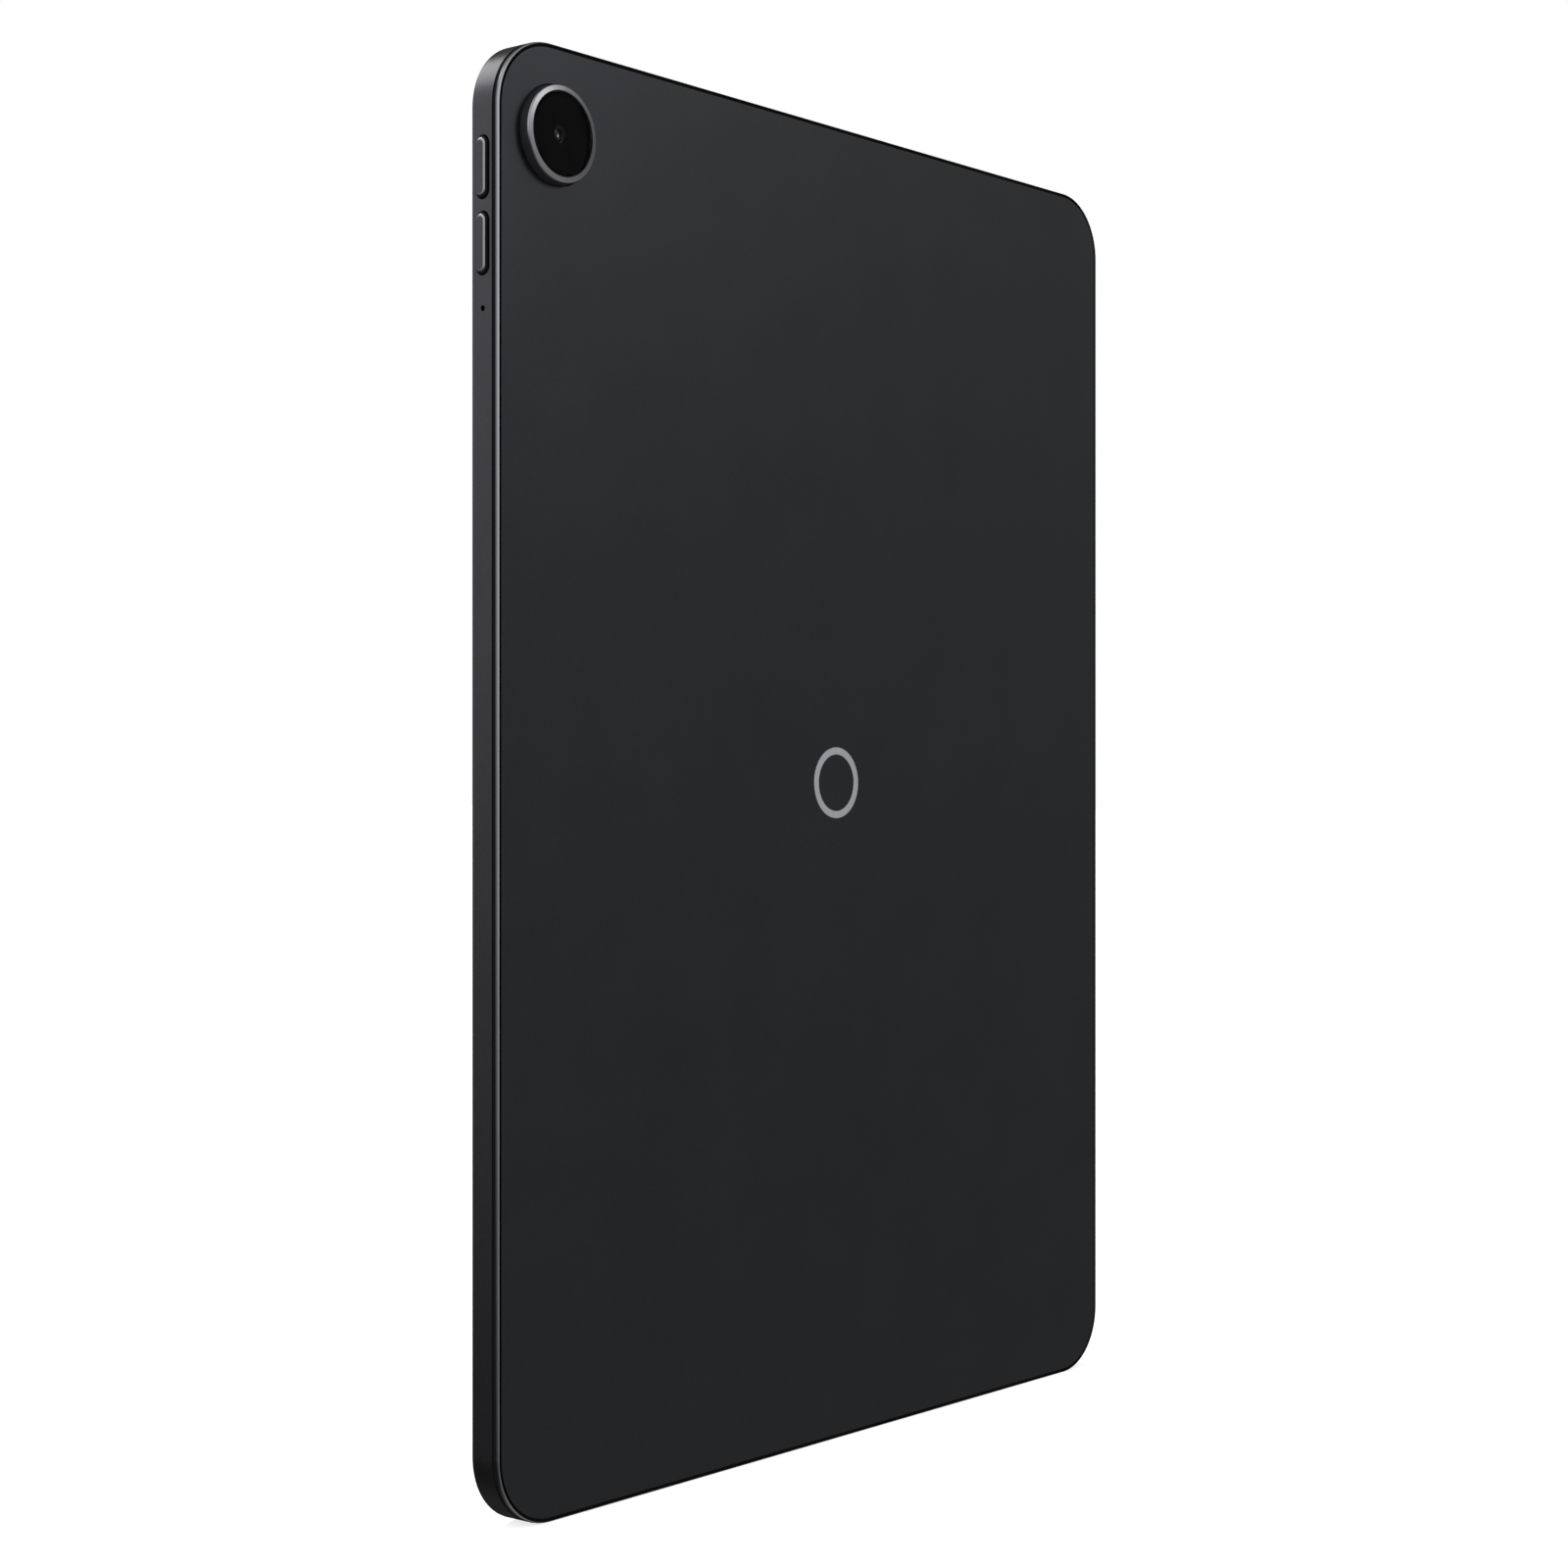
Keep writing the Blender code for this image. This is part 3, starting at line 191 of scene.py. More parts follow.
def smooth(piece: Piece, sharp_degrees: float) -> None:
    """Shade a piece smooth, apart from edges that bend more than the given angle."""
    piece.data.shade_smooth()
    piece.data.set_sharp_from_angle(angle=math.radians(sharp_degrees))


def carve(piece: Piece, cutters: Skin, sharp_degrees: float = 32.0) -> None:
    """Cut the cutters' volume out of a piece, and make the result its mesh.

    Args:
        piece: the piece to cut.
        cutters: closed skins, whose face numbers name the piece's own materials.
        sharp_degrees: edges that bend more than this stay crisp.
    """
    tool = cutters.build(f"{piece.name}_cutter", [])
    modifier = piece.modifiers.new("carve", "BOOLEAN")
    modifier.operation = "DIFFERENCE"
    modifier.solver = "EXACT"
    modifier.object = tool
    graph = bpy.context.evaluated_depsgraph_get()
    carved = bpy.data.meshes.new_from_object(piece.evaluated_get(graph))
    piece.modifiers.clear()
    carved.name = piece.name
    piece.data = carved
    bpy.data.objects.remove(tool)
    smooth(piece, sharp_degrees)


@dataclass
class Profile:
    """A cross-section: two coordinates for each point, the stretch each point starts, and its exposure, which
    on the frame's chamfer is a painted highlight.
    """

    points: Array
    stretch: Array
    edge: Array

    @classmethod
    def plain(cls, points: Array, edge: float | Array = 0.0) -> "Profile":
        """One stretch through the given points, which are in millimetres."""
        return cls(points * MM, np.zeros(len(points), int), np.asarray(edge, float))

    @classmethod
    def rounded(
        cls,
        corners: Sequence[tuple[float, float, float]],
        closed: bool,
        steps: int = 5,
        guard: float = 0.03,
    ) -> "Profile":
        """Round the corners of a polygon.

        At a corner of radius r the outline leaves one side and joins the next at r times the tangent of
        half the turn, along the curve (1-t)^2 start + 2t(1-t) corner + t^2 end. A guard point just past
        each curve keeps the flats flat when they are shaded smooth.

        Args:
            corners: first coordinate, second coordinate and radius of each corner, in millimetres.
            closed: whether the last corner joins the first.
            steps: pieces in each curve.
            guard: how far past a curve its guard points are, in millimetres.

        Returns:
            The profile, in metres.
        """
        spots = np.array([corner[:2] for corner in corners], float)
        radii = np.array([corner[2] for corner in corners], float)
        before, after = np.roll(spots, 1, 0) - spots, np.roll(spots, -1, 0) - spots
        before /= np.maximum(np.linalg.norm(before, axis=1), 1e-9)[:, None]
        after /= np.maximum(np.linalg.norm(after, axis=1), 1e-9)[:, None]
        turn = math.pi - np.arccos(np.clip(np.sum(before * after, axis=1), -1, 1))
        reach = radii * np.tan(turn / 2)
        if not closed:
            reach[[0, -1]] = 0
        points, stretch, edge = [], [], []
        t = np.linspace(0, 1, steps + 1)[:, None]
        for i, (spot, back, on, cut) in enumerate(zip(spots, before, after, reach)):
            if cut <= 0:
                points.append(spot[None])
                stretch.append([i])
                edge.append([0.0])
                continue
            start, end = spot + back * cut, spot + on * cut
            curve = (1 - t) ** 2 * start + 2 * t * (1 - t) * spot + t**2 * end
            points.append(np.concatenate([[start + back * guard], curve, [end + on * guard]]))
            stretch.append([i - 1] * (steps // 2 + 1) + [i] * (steps - steps // 2 + 2))
            edge.append([0.0, *np.sin(np.pi * t[:, 0]), 0.0])
        return cls(np.concatenate(points) * MM, np.concatenate(stretch), np.concatenate(edge))


class Path:
    """A closed path in x and z, which a profile can be carried round."""

    def trace(self) -> tuple[Array, Array]:
        """Points and outward normals round the path."""
        raise NotImplementedError

    def sweep(self, profile: Profile, finish: int | Array = 0, ring: bool = True) -> Skin:
        """Carry a profile of (distance inboard, y) round the path.

        Each point is the path's point, moved in along the path's normal by the profile's first coordinate,
        at the depth of its second.

        Args:
            profile: the section to carry.
            finish: material number, for all or for each stretch of the profile.
            ring: close the section on itself, or else cap its two ends flat.

        Returns:
            The swept skin.
        """
        around, normal = self.trace()
        inset, depth = profile.points.T
        flat = around[None] - normal[None] * inset[:, None, None]
        deep = np.broadcast_to(depth[:, None], flat.shape[:2])
        points = np.stack([flat[..., 0], deep, flat[..., 1]], -1)
        numbers = np.asarray(finish)[profile.stretch] if np.ndim(finish) else finish
        return Skin.grid(points, ring, (not ring, not ring), numbers, profile.edge)


@dataclass(frozen=True)
class Outline(Path):
    """The body's outline: straight sides joined by superellipse corners.

    A corner point is (cos a) to the power 2/p by (sin a) to the power 2/p, scaled by the corner's reach,
    for a from 0 to 90 degrees. Its normal is along the two coordinates to the power p-1.
    """

    side: float
    end: float
    reach: float = 13.4 * MM
    power: float = 2.05
    corner_steps: int = 44
    straight_step: float = 8.0 * MM

    def trace(self) -> tuple[Array, Array]:
        """Points and outward normals round the outline, a quarter at a time, each turned from the first."""
        angle = np.linspace(0, math.pi / 2, self.corner_steps + 1)
        unit = np.stack([np.cos(angle), np.sin(angle)], 1).clip(0) ** (2 / self.power)
        slope = unit ** (self.power - 1)
        slope /= np.linalg.norm(slope, axis=1)[:, None]
        points, normals = [], []
        for quarter in range(4):
            wide, tall = (self.side, self.end) if quarter % 2 == 0 else (self.end, self.side)
            corner = np.array([wide, tall]) - self.reach + self.reach * unit
            run = 2 * (wide - self.reach)
            count = max(1, round(run / self.straight_step))
            along = (wide - self.reach) - run * np.arange(1, count) / count
            straight = np.stack([along, np.full(count - 1, tall)], 1)
            turn = np.array([[0, -1], [1, 0]]) if quarter % 2 else np.eye(2)
            turn = turn * (-1 if quarter >= 2 else 1)
            points.append(np.concatenate([corner, straight]) @ turn.T)
            up = np.repeat([[0.0, 1.0]], count - 1, axis=0)
            normals.append(np.concatenate([slope, up]) @ turn.T)
        return np.concatenate(points), np.concatenate(normals)


@dataclass(frozen=True)
class Axis(Path):
    """An axis along Y, which a profile of (radius, y) is turned round: a circle of no size, facing in."""

    x: float
    z: float
    steps: int = 96

    def trace(self) -> tuple[Array, Array]:
        """The axis's own place for each step, and minus (cos a, sin a) for a all the way round."""
        angle = np.linspace(0, 2 * math.pi, self.steps, endpoint=False)
        spots = np.tile([self.x, self.z], (self.steps, 1))
        return spots, -np.stack([np.cos(angle), np.sin(angle)], 1)


def oblong(length: float, width: float, steps: int = 16) -> Array:
    """Points round a slot with half-round ends, lying along the first coordinate."""
    angle = np.linspace(-math.pi / 2, math.pi / 2, steps + 1)
    bow = np.stack([np.cos(angle), np.sin(angle)], 1) * width / 2
    reach = np.array([(length - width) / 2, 0])
    return np.concatenate([bow + reach, -bow - reach])


def bricks(lows: Array, highs: Array) -> Skin:
    """Separate cuboids, one for each row of lowest and highest corners."""
    square = np.array([[0, 0], [1, 0], [1, 1], [0, 1]])
    corner = np.array([[[a, b, c] for a, b in square] for c in (0, 1)])
    return Skin.join(
        Skin.grid(low + corner * (high - low), caps=(True, True)) for low, high in zip(lows, highs)
    )


class Side(Enum):
    """A side of the body that openings and keys sit in."""

    LEFT = "left"
    TOP = "top"
    BOTTOM = "bottom"

    def stack(
        self,
        outline: Outline,
        along: float,
        y: float,
        sections: Array,
        steps: int = 16,
        finish: int | Array = 0,
        edge: float | Array = 0.0,
        ring: bool = False,
        shift: float | Array = 0.0,
    ) -> Skin:
        """Skin a run of oblong sections that stand out from this side.

        Args:
            outline: the body's outline.
            along: place along the side.
            y: depth of the middle of the sections.
            sections: length, width and height above the side of each section, in metres.
            steps: pieces in each half-round end.
            finish: material number, for all or for each section.
            edge: exposure, for all or for each section.
            ring: join the last section to the first, or else cap both ends flat.
            shift: how far each section's middle lies towards the front, in metres.

        Returns:
            The stacked skin, in its place.
        """
        loops = np.stack([oblong(length, width, steps) for length, width, _ in sections])
        a, b = loops[..., 0] + along, loops[..., 1] + y + np.reshape(shift, (-1, 1))
        out = np.broadcast_to(np.asarray(sections)[:, 2:], a.shape)
        place = {
            Side.LEFT: (-outline.side - out, b, a),
            Side.TOP: (a, b, outline.end + out),
            Side.BOTTOM: (a, b, -outline.end - out),
        }[self]
        return Skin.grid(np.stack(place, -1), ring, (not ring, not ring), finish, edge)


# ---------------------------------------------------------------- finishes


class Graph:
    """Short ways to add, set and join the nodes of one tree."""

    def __init__(self, tree: bpy.types.NodeTree) -> None:
        """Start on a tree."""
        self.tree = tree

    def put(self, socket: Socket, value: object) -> None:
        """Join a socket to another one, or set its own value."""
        if isinstance(value, Socket):
            self.tree.links.new(value, socket)
        else:
            socket.default_value = value

    def add(self, kind: str, settings: dict | None = None, inputs: dict | None = None) -> Node:
        """Add a node.

        Args:
            kind: the node's type.
            settings: its properties, by name.
            inputs: its sockets' values or what they are joined to, by name or number.

        Returns:
            The node.
        """
        node = self.tree.nodes.new(kind)
        for name, value in (settings or {}).items():
            setattr(node, name, value)
        for name, value in (inputs or {}).items():
            self.put(node.inputs[name], value)
        return node

    def math(self, operation: str, *values: object, clamp: bool = False) -> Socket:
        """The result of one sum on sockets or numbers."""
        settings = {"operation": operation, "use_clamp": clamp}
        return self.add("ShaderNodeMath", settings, dict(enumerate(values))).outputs[0]

    def plus(self, first: object, second: object) -> Socket:
        """A sum."""
        return self.math("ADD", first, second)

    def minus(self, first: object, second: object) -> Socket:
        """A difference."""
        return self.math("SUBTRACT", first, second)

    def times(self, first: object, second: object) -> Socket:
        """A product."""
        return self.math("MULTIPLY", first, second)

    def spread(self, value: object, low: float, high: float, to_low: float, to_high: float) -> Socket:
        """A value carried from one span to another, and kept inside it."""
        inputs = {"Value": value, 1: low, 2: high, 3: to_low, 4: to_high}
        return self.add("ShaderNodeMapRange", {"clamp": True}, inputs).outputs[0]

    def mix(self, share: object, first: object, second: object) -> Socket:
        """A colour between two others."""
        return self.add("ShaderNodeMix", {"data_type": "RGBA"}, {0: share, 6: first, 7: second}).outputs[2]

    def noise(self, place: object, scale: object, detail: float = 2.0, rough: float = 0.5) -> Socket:
        """Smooth random values over a surface."""
        inputs = {"Vector": place, "Scale": scale, "Detail": detail, "Roughness": rough}
        return self.add("ShaderNodeTexNoise", None, inputs).outputs["Fac"]

    def vector(self, operation: str, place: object, other: tuple[float, float, float]) -> Node:
        """A node for one sum on two sets of coordinates."""
        return self.add("ShaderNodeVectorMath", {"operation": operation}, {0: place, 1: other})

    def axes(self, place: object) -> dict[str, Socket]:
        """The three coordinates, each by its own name."""
        return self.add("ShaderNodeSeparateXYZ", None, {0: place}).outputs


class Effect(Graph):
    """A surface effect that finishes share: a node group whose inputs are a place and some numbers."""

    NUMBERS: dict[str, float] = {}
    made: dict[type["Effect"], bpy.types.NodeTree] = {}

    def __init__(self) -> None:
        """Make the group, whose outputs are what the join method gives."""
        super().__init__(bpy.data.node_groups.new(type(self).__name__.lower(), "ShaderNodeTree"))
        sockets = self.tree.interface
        sockets.new_socket(name="Place", in_out="INPUT", socket_type="NodeSocketVector")
        for title, default in self.NUMBERS.items():
            socket = sockets.new_socket(name=title, in_out="INPUT", socket_type="NodeSocketFloat")
            socket.default_value = default
        self.given = self.add("NodeGroupInput").outputs
        sink = self.add("NodeGroupOutput")
        for title, value in self.join().items():
            sockets.new_socket(name=title, in_out="OUTPUT", socket_type="NodeSocketFloat")
            self.put(sink.inputs[title], value)

    def join(self) -> dict[str, Socket]:
        """Join the nodes, and give the outputs by name."""
        raise NotImplementedError


class Blasted(Effect):
    """Fine bead-blasted grain: two sizes of speckle, and a slow drift of how dense it is."""

    NUMBERS = {"Scale": 5200.0, "Drift": 45.0}

    def join(self) -> dict[str, Socket]:
        """Add the two speckles for the height, and the drift on top for the colour."""
        place, scale = self.given["Place"], self.given["Scale"]
        fine = self.noise(place, scale, 2.0, 0.55)
        coarse = self.noise(place, self.times(scale, 0.24), 1.0, 0.5)
        drift = self.noise(place, self.given["Drift"], 3.0, 0.6)
        blend = self.plus(self.times(fine, 0.65), self.times(coarse, 0.35))
        denser = self.times(self.minus(drift, 0.5), 0.5)
        return {"Height": blend, "Speckle": self.math("ADD", blend, denser, clamp=True)}


class Handled(Effect):
    """Faint marks of handling: broad soft patches from fingers, crossed by a few wiped streaks."""

    NUMBERS = {"Scale": 14.0}

    def join(self) -> dict[str, Socket]:
        """Keep only the tops of a broad noise, and of a finer one drawn out along the height."""
        place, scale = self.given["Place"], self.given["Scale"]
        patch = self.noise(place, scale, 4.0, 0.55)
        tall = self.vector("MULTIPLY", place, (1.0, 1.0, 0.12)).outputs[0]
        wiped = self.noise(tall, self.times(scale, 9.0), 2.0, 0.6)
        smudge = self.spread(patch, 0.42, 0.66, 0.0, 1.0)
        return {"Smudge": smudge, "Streak": self.spread(wiped, 0.55, 0.8, 0.0, 1.0)}


class Worn(Effect):
    """Wear on corners: the exposed edge, broken up by noise so that it comes and goes."""

    NUMBERS = {"Edge": 0.0, "Amount": 0.5}

    def join(self) -> dict[str, Socket]:
        """Add noise to the exposure, and keep what is over a limit."""
        broken = self.noise(self.given["Place"], 420.0, 4.0, 0.65)
        exposed = self.times(self.given["Edge"], self.given["Amount"])
        reach = self.minus(self.plus(exposed, broken), 0.75)
        return {"Mask": self.math("MULTIPLY", reach, 3.0, clamp=True)}


class Brushed(Effect):
    """Fine parallel lines along one axis, as on rolled or brushed sheet."""

    NUMBERS = {"Scale": 900.0}

    def join(self) -> dict[str, Socket]:
        """Draw a noise out along the height."""
        tall = self.vector("MULTIPLY", self.given["Place"], (1.0, 1.0, 0.03)).outputs[0]
        return {"Line": self.noise(tall, self.given["Scale"], 3.0, 0.6)}


class Lattice(Effect):
    """Round holes in rows: one where both coordinates are near the middle of their cell, else none."""

    NUMBERS = {"Pitch": 0.00035, "Hole": 0.33}

    def join(self) -> dict[str, Socket]:
        """Measure how far a point is from the middle of its cell, and compare that with the hole's size."""
        parts = self.axes(self.given["Place"])
        squares = []
        for axis in ("X", "Y"):
            off = self.minus(self.math("FRACT", self.math("DIVIDE", parts[axis], self.given["Pitch"])), 0.5)
            squares.append(self.times(off, off))
        away = self.math("SQRT", self.plus(*squares))
        past = self.minus(away, self.given["Hole"])
        hole = self.math("LESS_THAN", away, self.given["Hole"])
        return {"Hole": hole, "Rim": self.spread(past, 0.0, 0.12, 0.0, 1.0)}


class Traces(Effect):
    """Copper tracks under solder mask: thin lines between large flat cells, with small round pads."""

    NUMBERS = {"Scale": 420.0}

    def join(self) -> dict[str, Socket]:
        """Take the borders of one set of cells for the tracks, and the middles of another for the pads."""
        ends = {}
        for title, feature, random, low, high in (
            ("Track", "DISTANCE_TO_EDGE", 0.35, 0.03, 0.06),
            ("Pad", "F1", 0.2, 0.16, 0.2),
        ):
            inputs = {"Vector": self.given["Place"], "Scale": self.given["Scale"], "Randomness": random}
            cells = self.add("ShaderNodeTexVoronoi", {"feature": feature}, inputs)
            ends[title] = self.spread(cells.outputs["Distance"], low, high, 1.0, 0.0)
        return ends


class Coat(Graph):
    """The graph of one material, with its shader and the coordinates that its patterns follow."""

    def __init__(self, finish: "Finish") -> None:
        """Start a material with the finish's plain values."""
        self.finish = finish
        self.material = bpy.data.materials.new(finish.name)
        self.material.use_nodes = True
        self.material.diffuse_color = finish.shade()
        super().__init__(self.material.node_tree)
        self.place = self.add("ShaderNodeTexCoord").outputs["Object"]
        self.shader = self.tree.nodes["Principled BSDF"]
        self.set({"Metallic": finish.metallic, "Specular IOR Level": finish.specular})

    def set(self, inputs: dict[str, object]) -> None:
        """Set or join some of the shader's sockets, by name."""
        for title, value in inputs.items():
            self.put(self.shader.inputs[title], value)

    def close(self, colour: object, rough: object, normal: Socket | None = None) -> Material:
        """Set or join the shader's colour, roughness and normal, and give the material."""
        self.set({"Base Color": colour, "Roughness": rough})
        if normal is not None:
            self.set({"Normal": normal})
        return self.material

    def effect(self, kind: type[Effect], **numbers: object) -> dict[str, Socket]:
        """Place a shared effect, which is made on first use, and give its outputs by name."""
        if kind not in Effect.made:
            Effect.made[kind] = kind().tree
        inputs = {"Place": self.place, **numbers}
        return self.add("ShaderNodeGroup", {"node_tree": Effect.made[kind]}, inputs).outputs

    def edge(self) -> Socket:
        """How exposed a point is, from the piece's own attribute; on the frame's chamfer, a painted highlight
        instead.
        """
        return self.add("ShaderNodeAttribute", {"attribute_name": "edge"}).outputs["Fac"]

    def tones(self, share: object, low: float, high: float) -> Socket:
        """The finish's own colour, from a darker tone of it to a lighter one."""
        return self.mix(share, self.finish.shade(by=low), self.finish.shade(by=high))

    def bump(self, height: object, strength: float, deep: float) -> Socket:
        """The normal raised by a height map, whose full range is a depth in metres."""
        inputs = {"Strength": strength, "Distance": deep, "Height": height}
        return self.add("ShaderNodeBump", None, inputs).outputs[0]


@dataclass(frozen=True)
class Finish:
    """A finish: its plain values, and a build method that makes the material."""

    name: str
    colour: Colour
    roughness: float = 0.5
    metallic: float = 0.0
    specular: float = 0.5

    def shade(self, colour: Colour | None = None, by: float = 1.0) -> tuple[float, float, float, float]:
        """A colour, its own if none is given, times a factor, with full opacity."""
        return (*(channel * by for channel in (colour or self.colour)), 1.0)

    def build(self) -> Material:
        """Make the material with a soft variation of colour and sheen."""
        coat = Coat(self)
        drift = coat.noise(coat.place, 160.0, 4.0, 0.6)
        low, high = self.roughness * 0.85, min(1.0, self.roughness * 1.15)
        return coat.close(
            coat.tones(drift, 0.82, 1.18),
            coat.spread(drift, 0.3, 0.7, low, high),
            coat.bump(coat.noise(coat.place, 2600.0), 0.15, 0.00003),
        )


@dataclass(frozen=True)
class BlastedMetal(Finish):
    """Bead-blasted and anodised aluminium: satin, with fine grain, faint handling marks and worn corners."""

    bare: Colour = (0.16, 0.16, 0.17)
    grain: float = 0.22
    wear: float = 0.12

    def build(self) -> Material:
        """Make the material: the speckle roughens it, and handling and wear make it smoother."""
        coat = Coat(self)
        blasted, handled = coat.effect(Blasted), coat.effect(Handled)
        worn = coat.effect(Worn, Edge=coat.edge(), Amount=self.wear)["Mask"]
        rough = coat.plus(coat.times(coat.minus(blasted["Speckle"], 0.5), 0.08), self.roughness)
        rough = coat.minus(rough, coat.times(handled["Smudge"], 0.035))
        tone = coat.tones(blasted["Speckle"], 0.76, 1.24)
        return coat.close(
            coat.mix(worn, tone, self.shade(self.bare)),
            coat.minus(rough, coat.times(worn, 0.12)),
            coat.bump(blasted["Height"], self.grain, 0.00002),
        )


@dataclass(frozen=True)
class CutMetal(Finish):
    """Diamond-cut or polished metal: bright, with fine lines of the cut.

    Where a painted dark end is given, the colour fades from that painted shade to the bright cut as the
    piece's
    edge attribute goes from 0 to 1: a painted highlight gradient.
    """

    painted_dark_end: Colour | None = None

    def build(self) -> Material:
        """Make the material."""
        coat = Coat(self)
        line = coat.effect(Brushed, Scale=2400.0)["Line"]
        smudge = coat.effect(Handled, Scale=60.0)["Smudge"]
        tone = coat.tones(line, 0.9, 1.1)
        # Painted highlight: the colour runs from painted shade at edge 0 to the bright cut at edge 1.
        if self.painted_dark_end:
            tone = coat.mix(coat.math("POWER", coat.edge(), 1.7), self.shade(self.painted_dark_end), tone)
        rough = coat.plus(coat.times(smudge, 0.05), coat.times(line, 0.06))
        return coat.close(
            tone,
            coat.plus(rough, self.roughness - 0.03),
            coat.bump(line, 0.08, 0.00001),
        )


@dataclass(frozen=True)
class ClearGlass(Finish):
    """Clear polished glass, with a trace of finger grease on it."""

    ior: float = 1.5

    def build(self) -> Material:
        """Make the material."""
        coat = Coat(self)
        marks = coat.effect(Handled, Scale=22.0)
        grease = coat.plus(coat.times(marks["Smudge"], 0.018), coat.times(marks["Streak"], 0.02))
        coat.set({"Transmission Weight": 1.0, "IOR": self.ior})
        return coat.close(self.shade(), grease)


@dataclass(frozen=True)
class InkPrint(Finish):
    """Black ink printed under glass, with a hint of its screen-printed texture."""

    def build(self) -> Material:
        """Make the material."""
        coat = Coat(self)
        dots = coat.noise(coat.place, 7000.0, 1.0)
        rough = coat.spread(dots, 0.3, 0.7, self.roughness - 0.05, self.roughness + 0.05)
        return coat.close(coat.tones(dots, 0.8, 1.2), rough)


@dataclass(frozen=True)
class CoatedLens(Finish):
    """A dark coated lens, violet to green with the angle; the edge attribute marks its shinier middle."""

    green: Colour = (0.003, 0.007, 0.006)

    def build(self) -> Material:
        """Make the material."""
        coat = Coat(self)
        facing = coat.add("ShaderNodeLayerWeight", None, {"Blend": 0.35}).outputs["Facing"]
        tint = coat.mix(facing, self.shade(), self.shade(self.green))
        cloud = coat.noise(coat.place, 900.0)
        weight = coat.spread(coat.edge(), 0.0, 1.0, 0.03, 1.0)
        coat.set({"Coat Weight": weight, "Coat IOR": 2.0, "Coat Roughness": 0.02})
        return coat.close(
            coat.mix(coat.spread(cloud, 0.4, 0.7, 0.0, 0.25), tint, self.shade(by=0.4)),
            coat.spread(cloud, 0.3, 0.7, 0.03, 0.06),
        )


@dataclass(frozen=True)
class WovenMesh(Finish):
    """Fine acoustic mesh: a lattice of round holes in dark steel."""

    hole: Colour = (0.002, 0.002, 0.002)

    def build(self) -> Material:
        """Make the material."""
        coat = Coat(self)
        lattice = coat.effect(Lattice)
        return coat.close(
            coat.mix(lattice["Hole"], self.shade(), self.shade(self.hole)),
            coat.spread(lattice["Rim"], 0, 1, 0.6, self.roughness),
            coat.bump(lattice["Rim"], 0.8, 0.0001),
        )


@dataclass(frozen=True)
class DarkPanel(Finish):
    """A display that is off: almost black, with the faint grid of its cells."""

    pitch: float = 0.0001
    line: float = 0.18

    def build(self) -> Material:
        """Make the material."""
        coat = Coat(self)
        parts = coat.axes(coat.place)
        cells = [coat.math("FRACT", coat.math("DIVIDE", parts[axis], self.pitch)) for axis in ("X", "Z")]
        grid = coat.math("MAXIMUM", *(coat.math("LESS_THAN", cell, self.line) for cell in cells))
        rough = coat.spread(coat.noise(coat.place, 30.0), 0.3, 0.7, 0.2, 0.26)
        return coat.close(coat.tones(grid, 1.0, 0.8), rough)


@dataclass(frozen=True)
class SheetSteel(Finish):
    """Pressed spring steel, with the lines of the rolling mill."""

    def build(self) -> Material:
        """Make the material."""
        coat = Coat(self)
        line = coat.effect(Brushed)["Line"]
        smudge = coat.spread(coat.noise(coat.place, 240.0, 4.0, 0.6), 0.5, 0.8, 0, 0.4)
        return coat.close(
            coat.mix(smudge, coat.tones(line, 0.8, 1.15), self.shade(by=0.6)),
            coat.spread(line, 0.3, 0.7, 0.24, 0.42),
            coat.bump(line, 0.12, 0.00002),
        )


@dataclass(frozen=True)
class CircuitBoard(Finish):
    """Solder-masked laminate: tracks under the mask and gold pads through it."""

    gold: Colour = (0.72, 0.5, 0.2)

    def build(self) -> Material:
        """Make the material."""
        coat = Coat(self)
        traces = coat.effect(Traces)
        mask = coat.tones(traces["Track"], 1.0, 2.2)
        return coat.close(
            coat.mix(traces["Pad"], mask, self.shade(self.gold)),
            coat.spread(traces["Pad"], 0, 1, 0.38, 0.25),
            coat.bump(traces["Track"], 0.3, 0.00003),
        )


@dataclass(frozen=True)
class FoilPouch(Finish):
    """The laminated foil of a battery cell, a little crinkled."""

    def build(self) -> Material:
        """Make the material."""
        coat = Coat(self)
        crinkle = coat.noise(coat.place, 110.0, 5.0, 0.7)
        return coat.close(
            coat.tones(crinkle, 0.75, 1.25),
            coat.spread(crinkle, 0.3, 0.7, 0.28, 0.45),
            coat.bump(crinkle, 0.5, 0.0004),
        )


@dataclass(frozen=True)
class StudioSheet(Finish):
    """The pale floor, which may glow."""

    glow: float = 0.0

    def build(self) -> Material:
        """Make the material."""
        coat = Coat(self)
        coat.set({"Emission Color": self.shade((1.0, 1.0, 1.0)), "Emission Strength": self.glow})
        return coat.close(coat.tones(coat.noise(coat.place, 3.0), 0.99, 1.0), self.roughness)


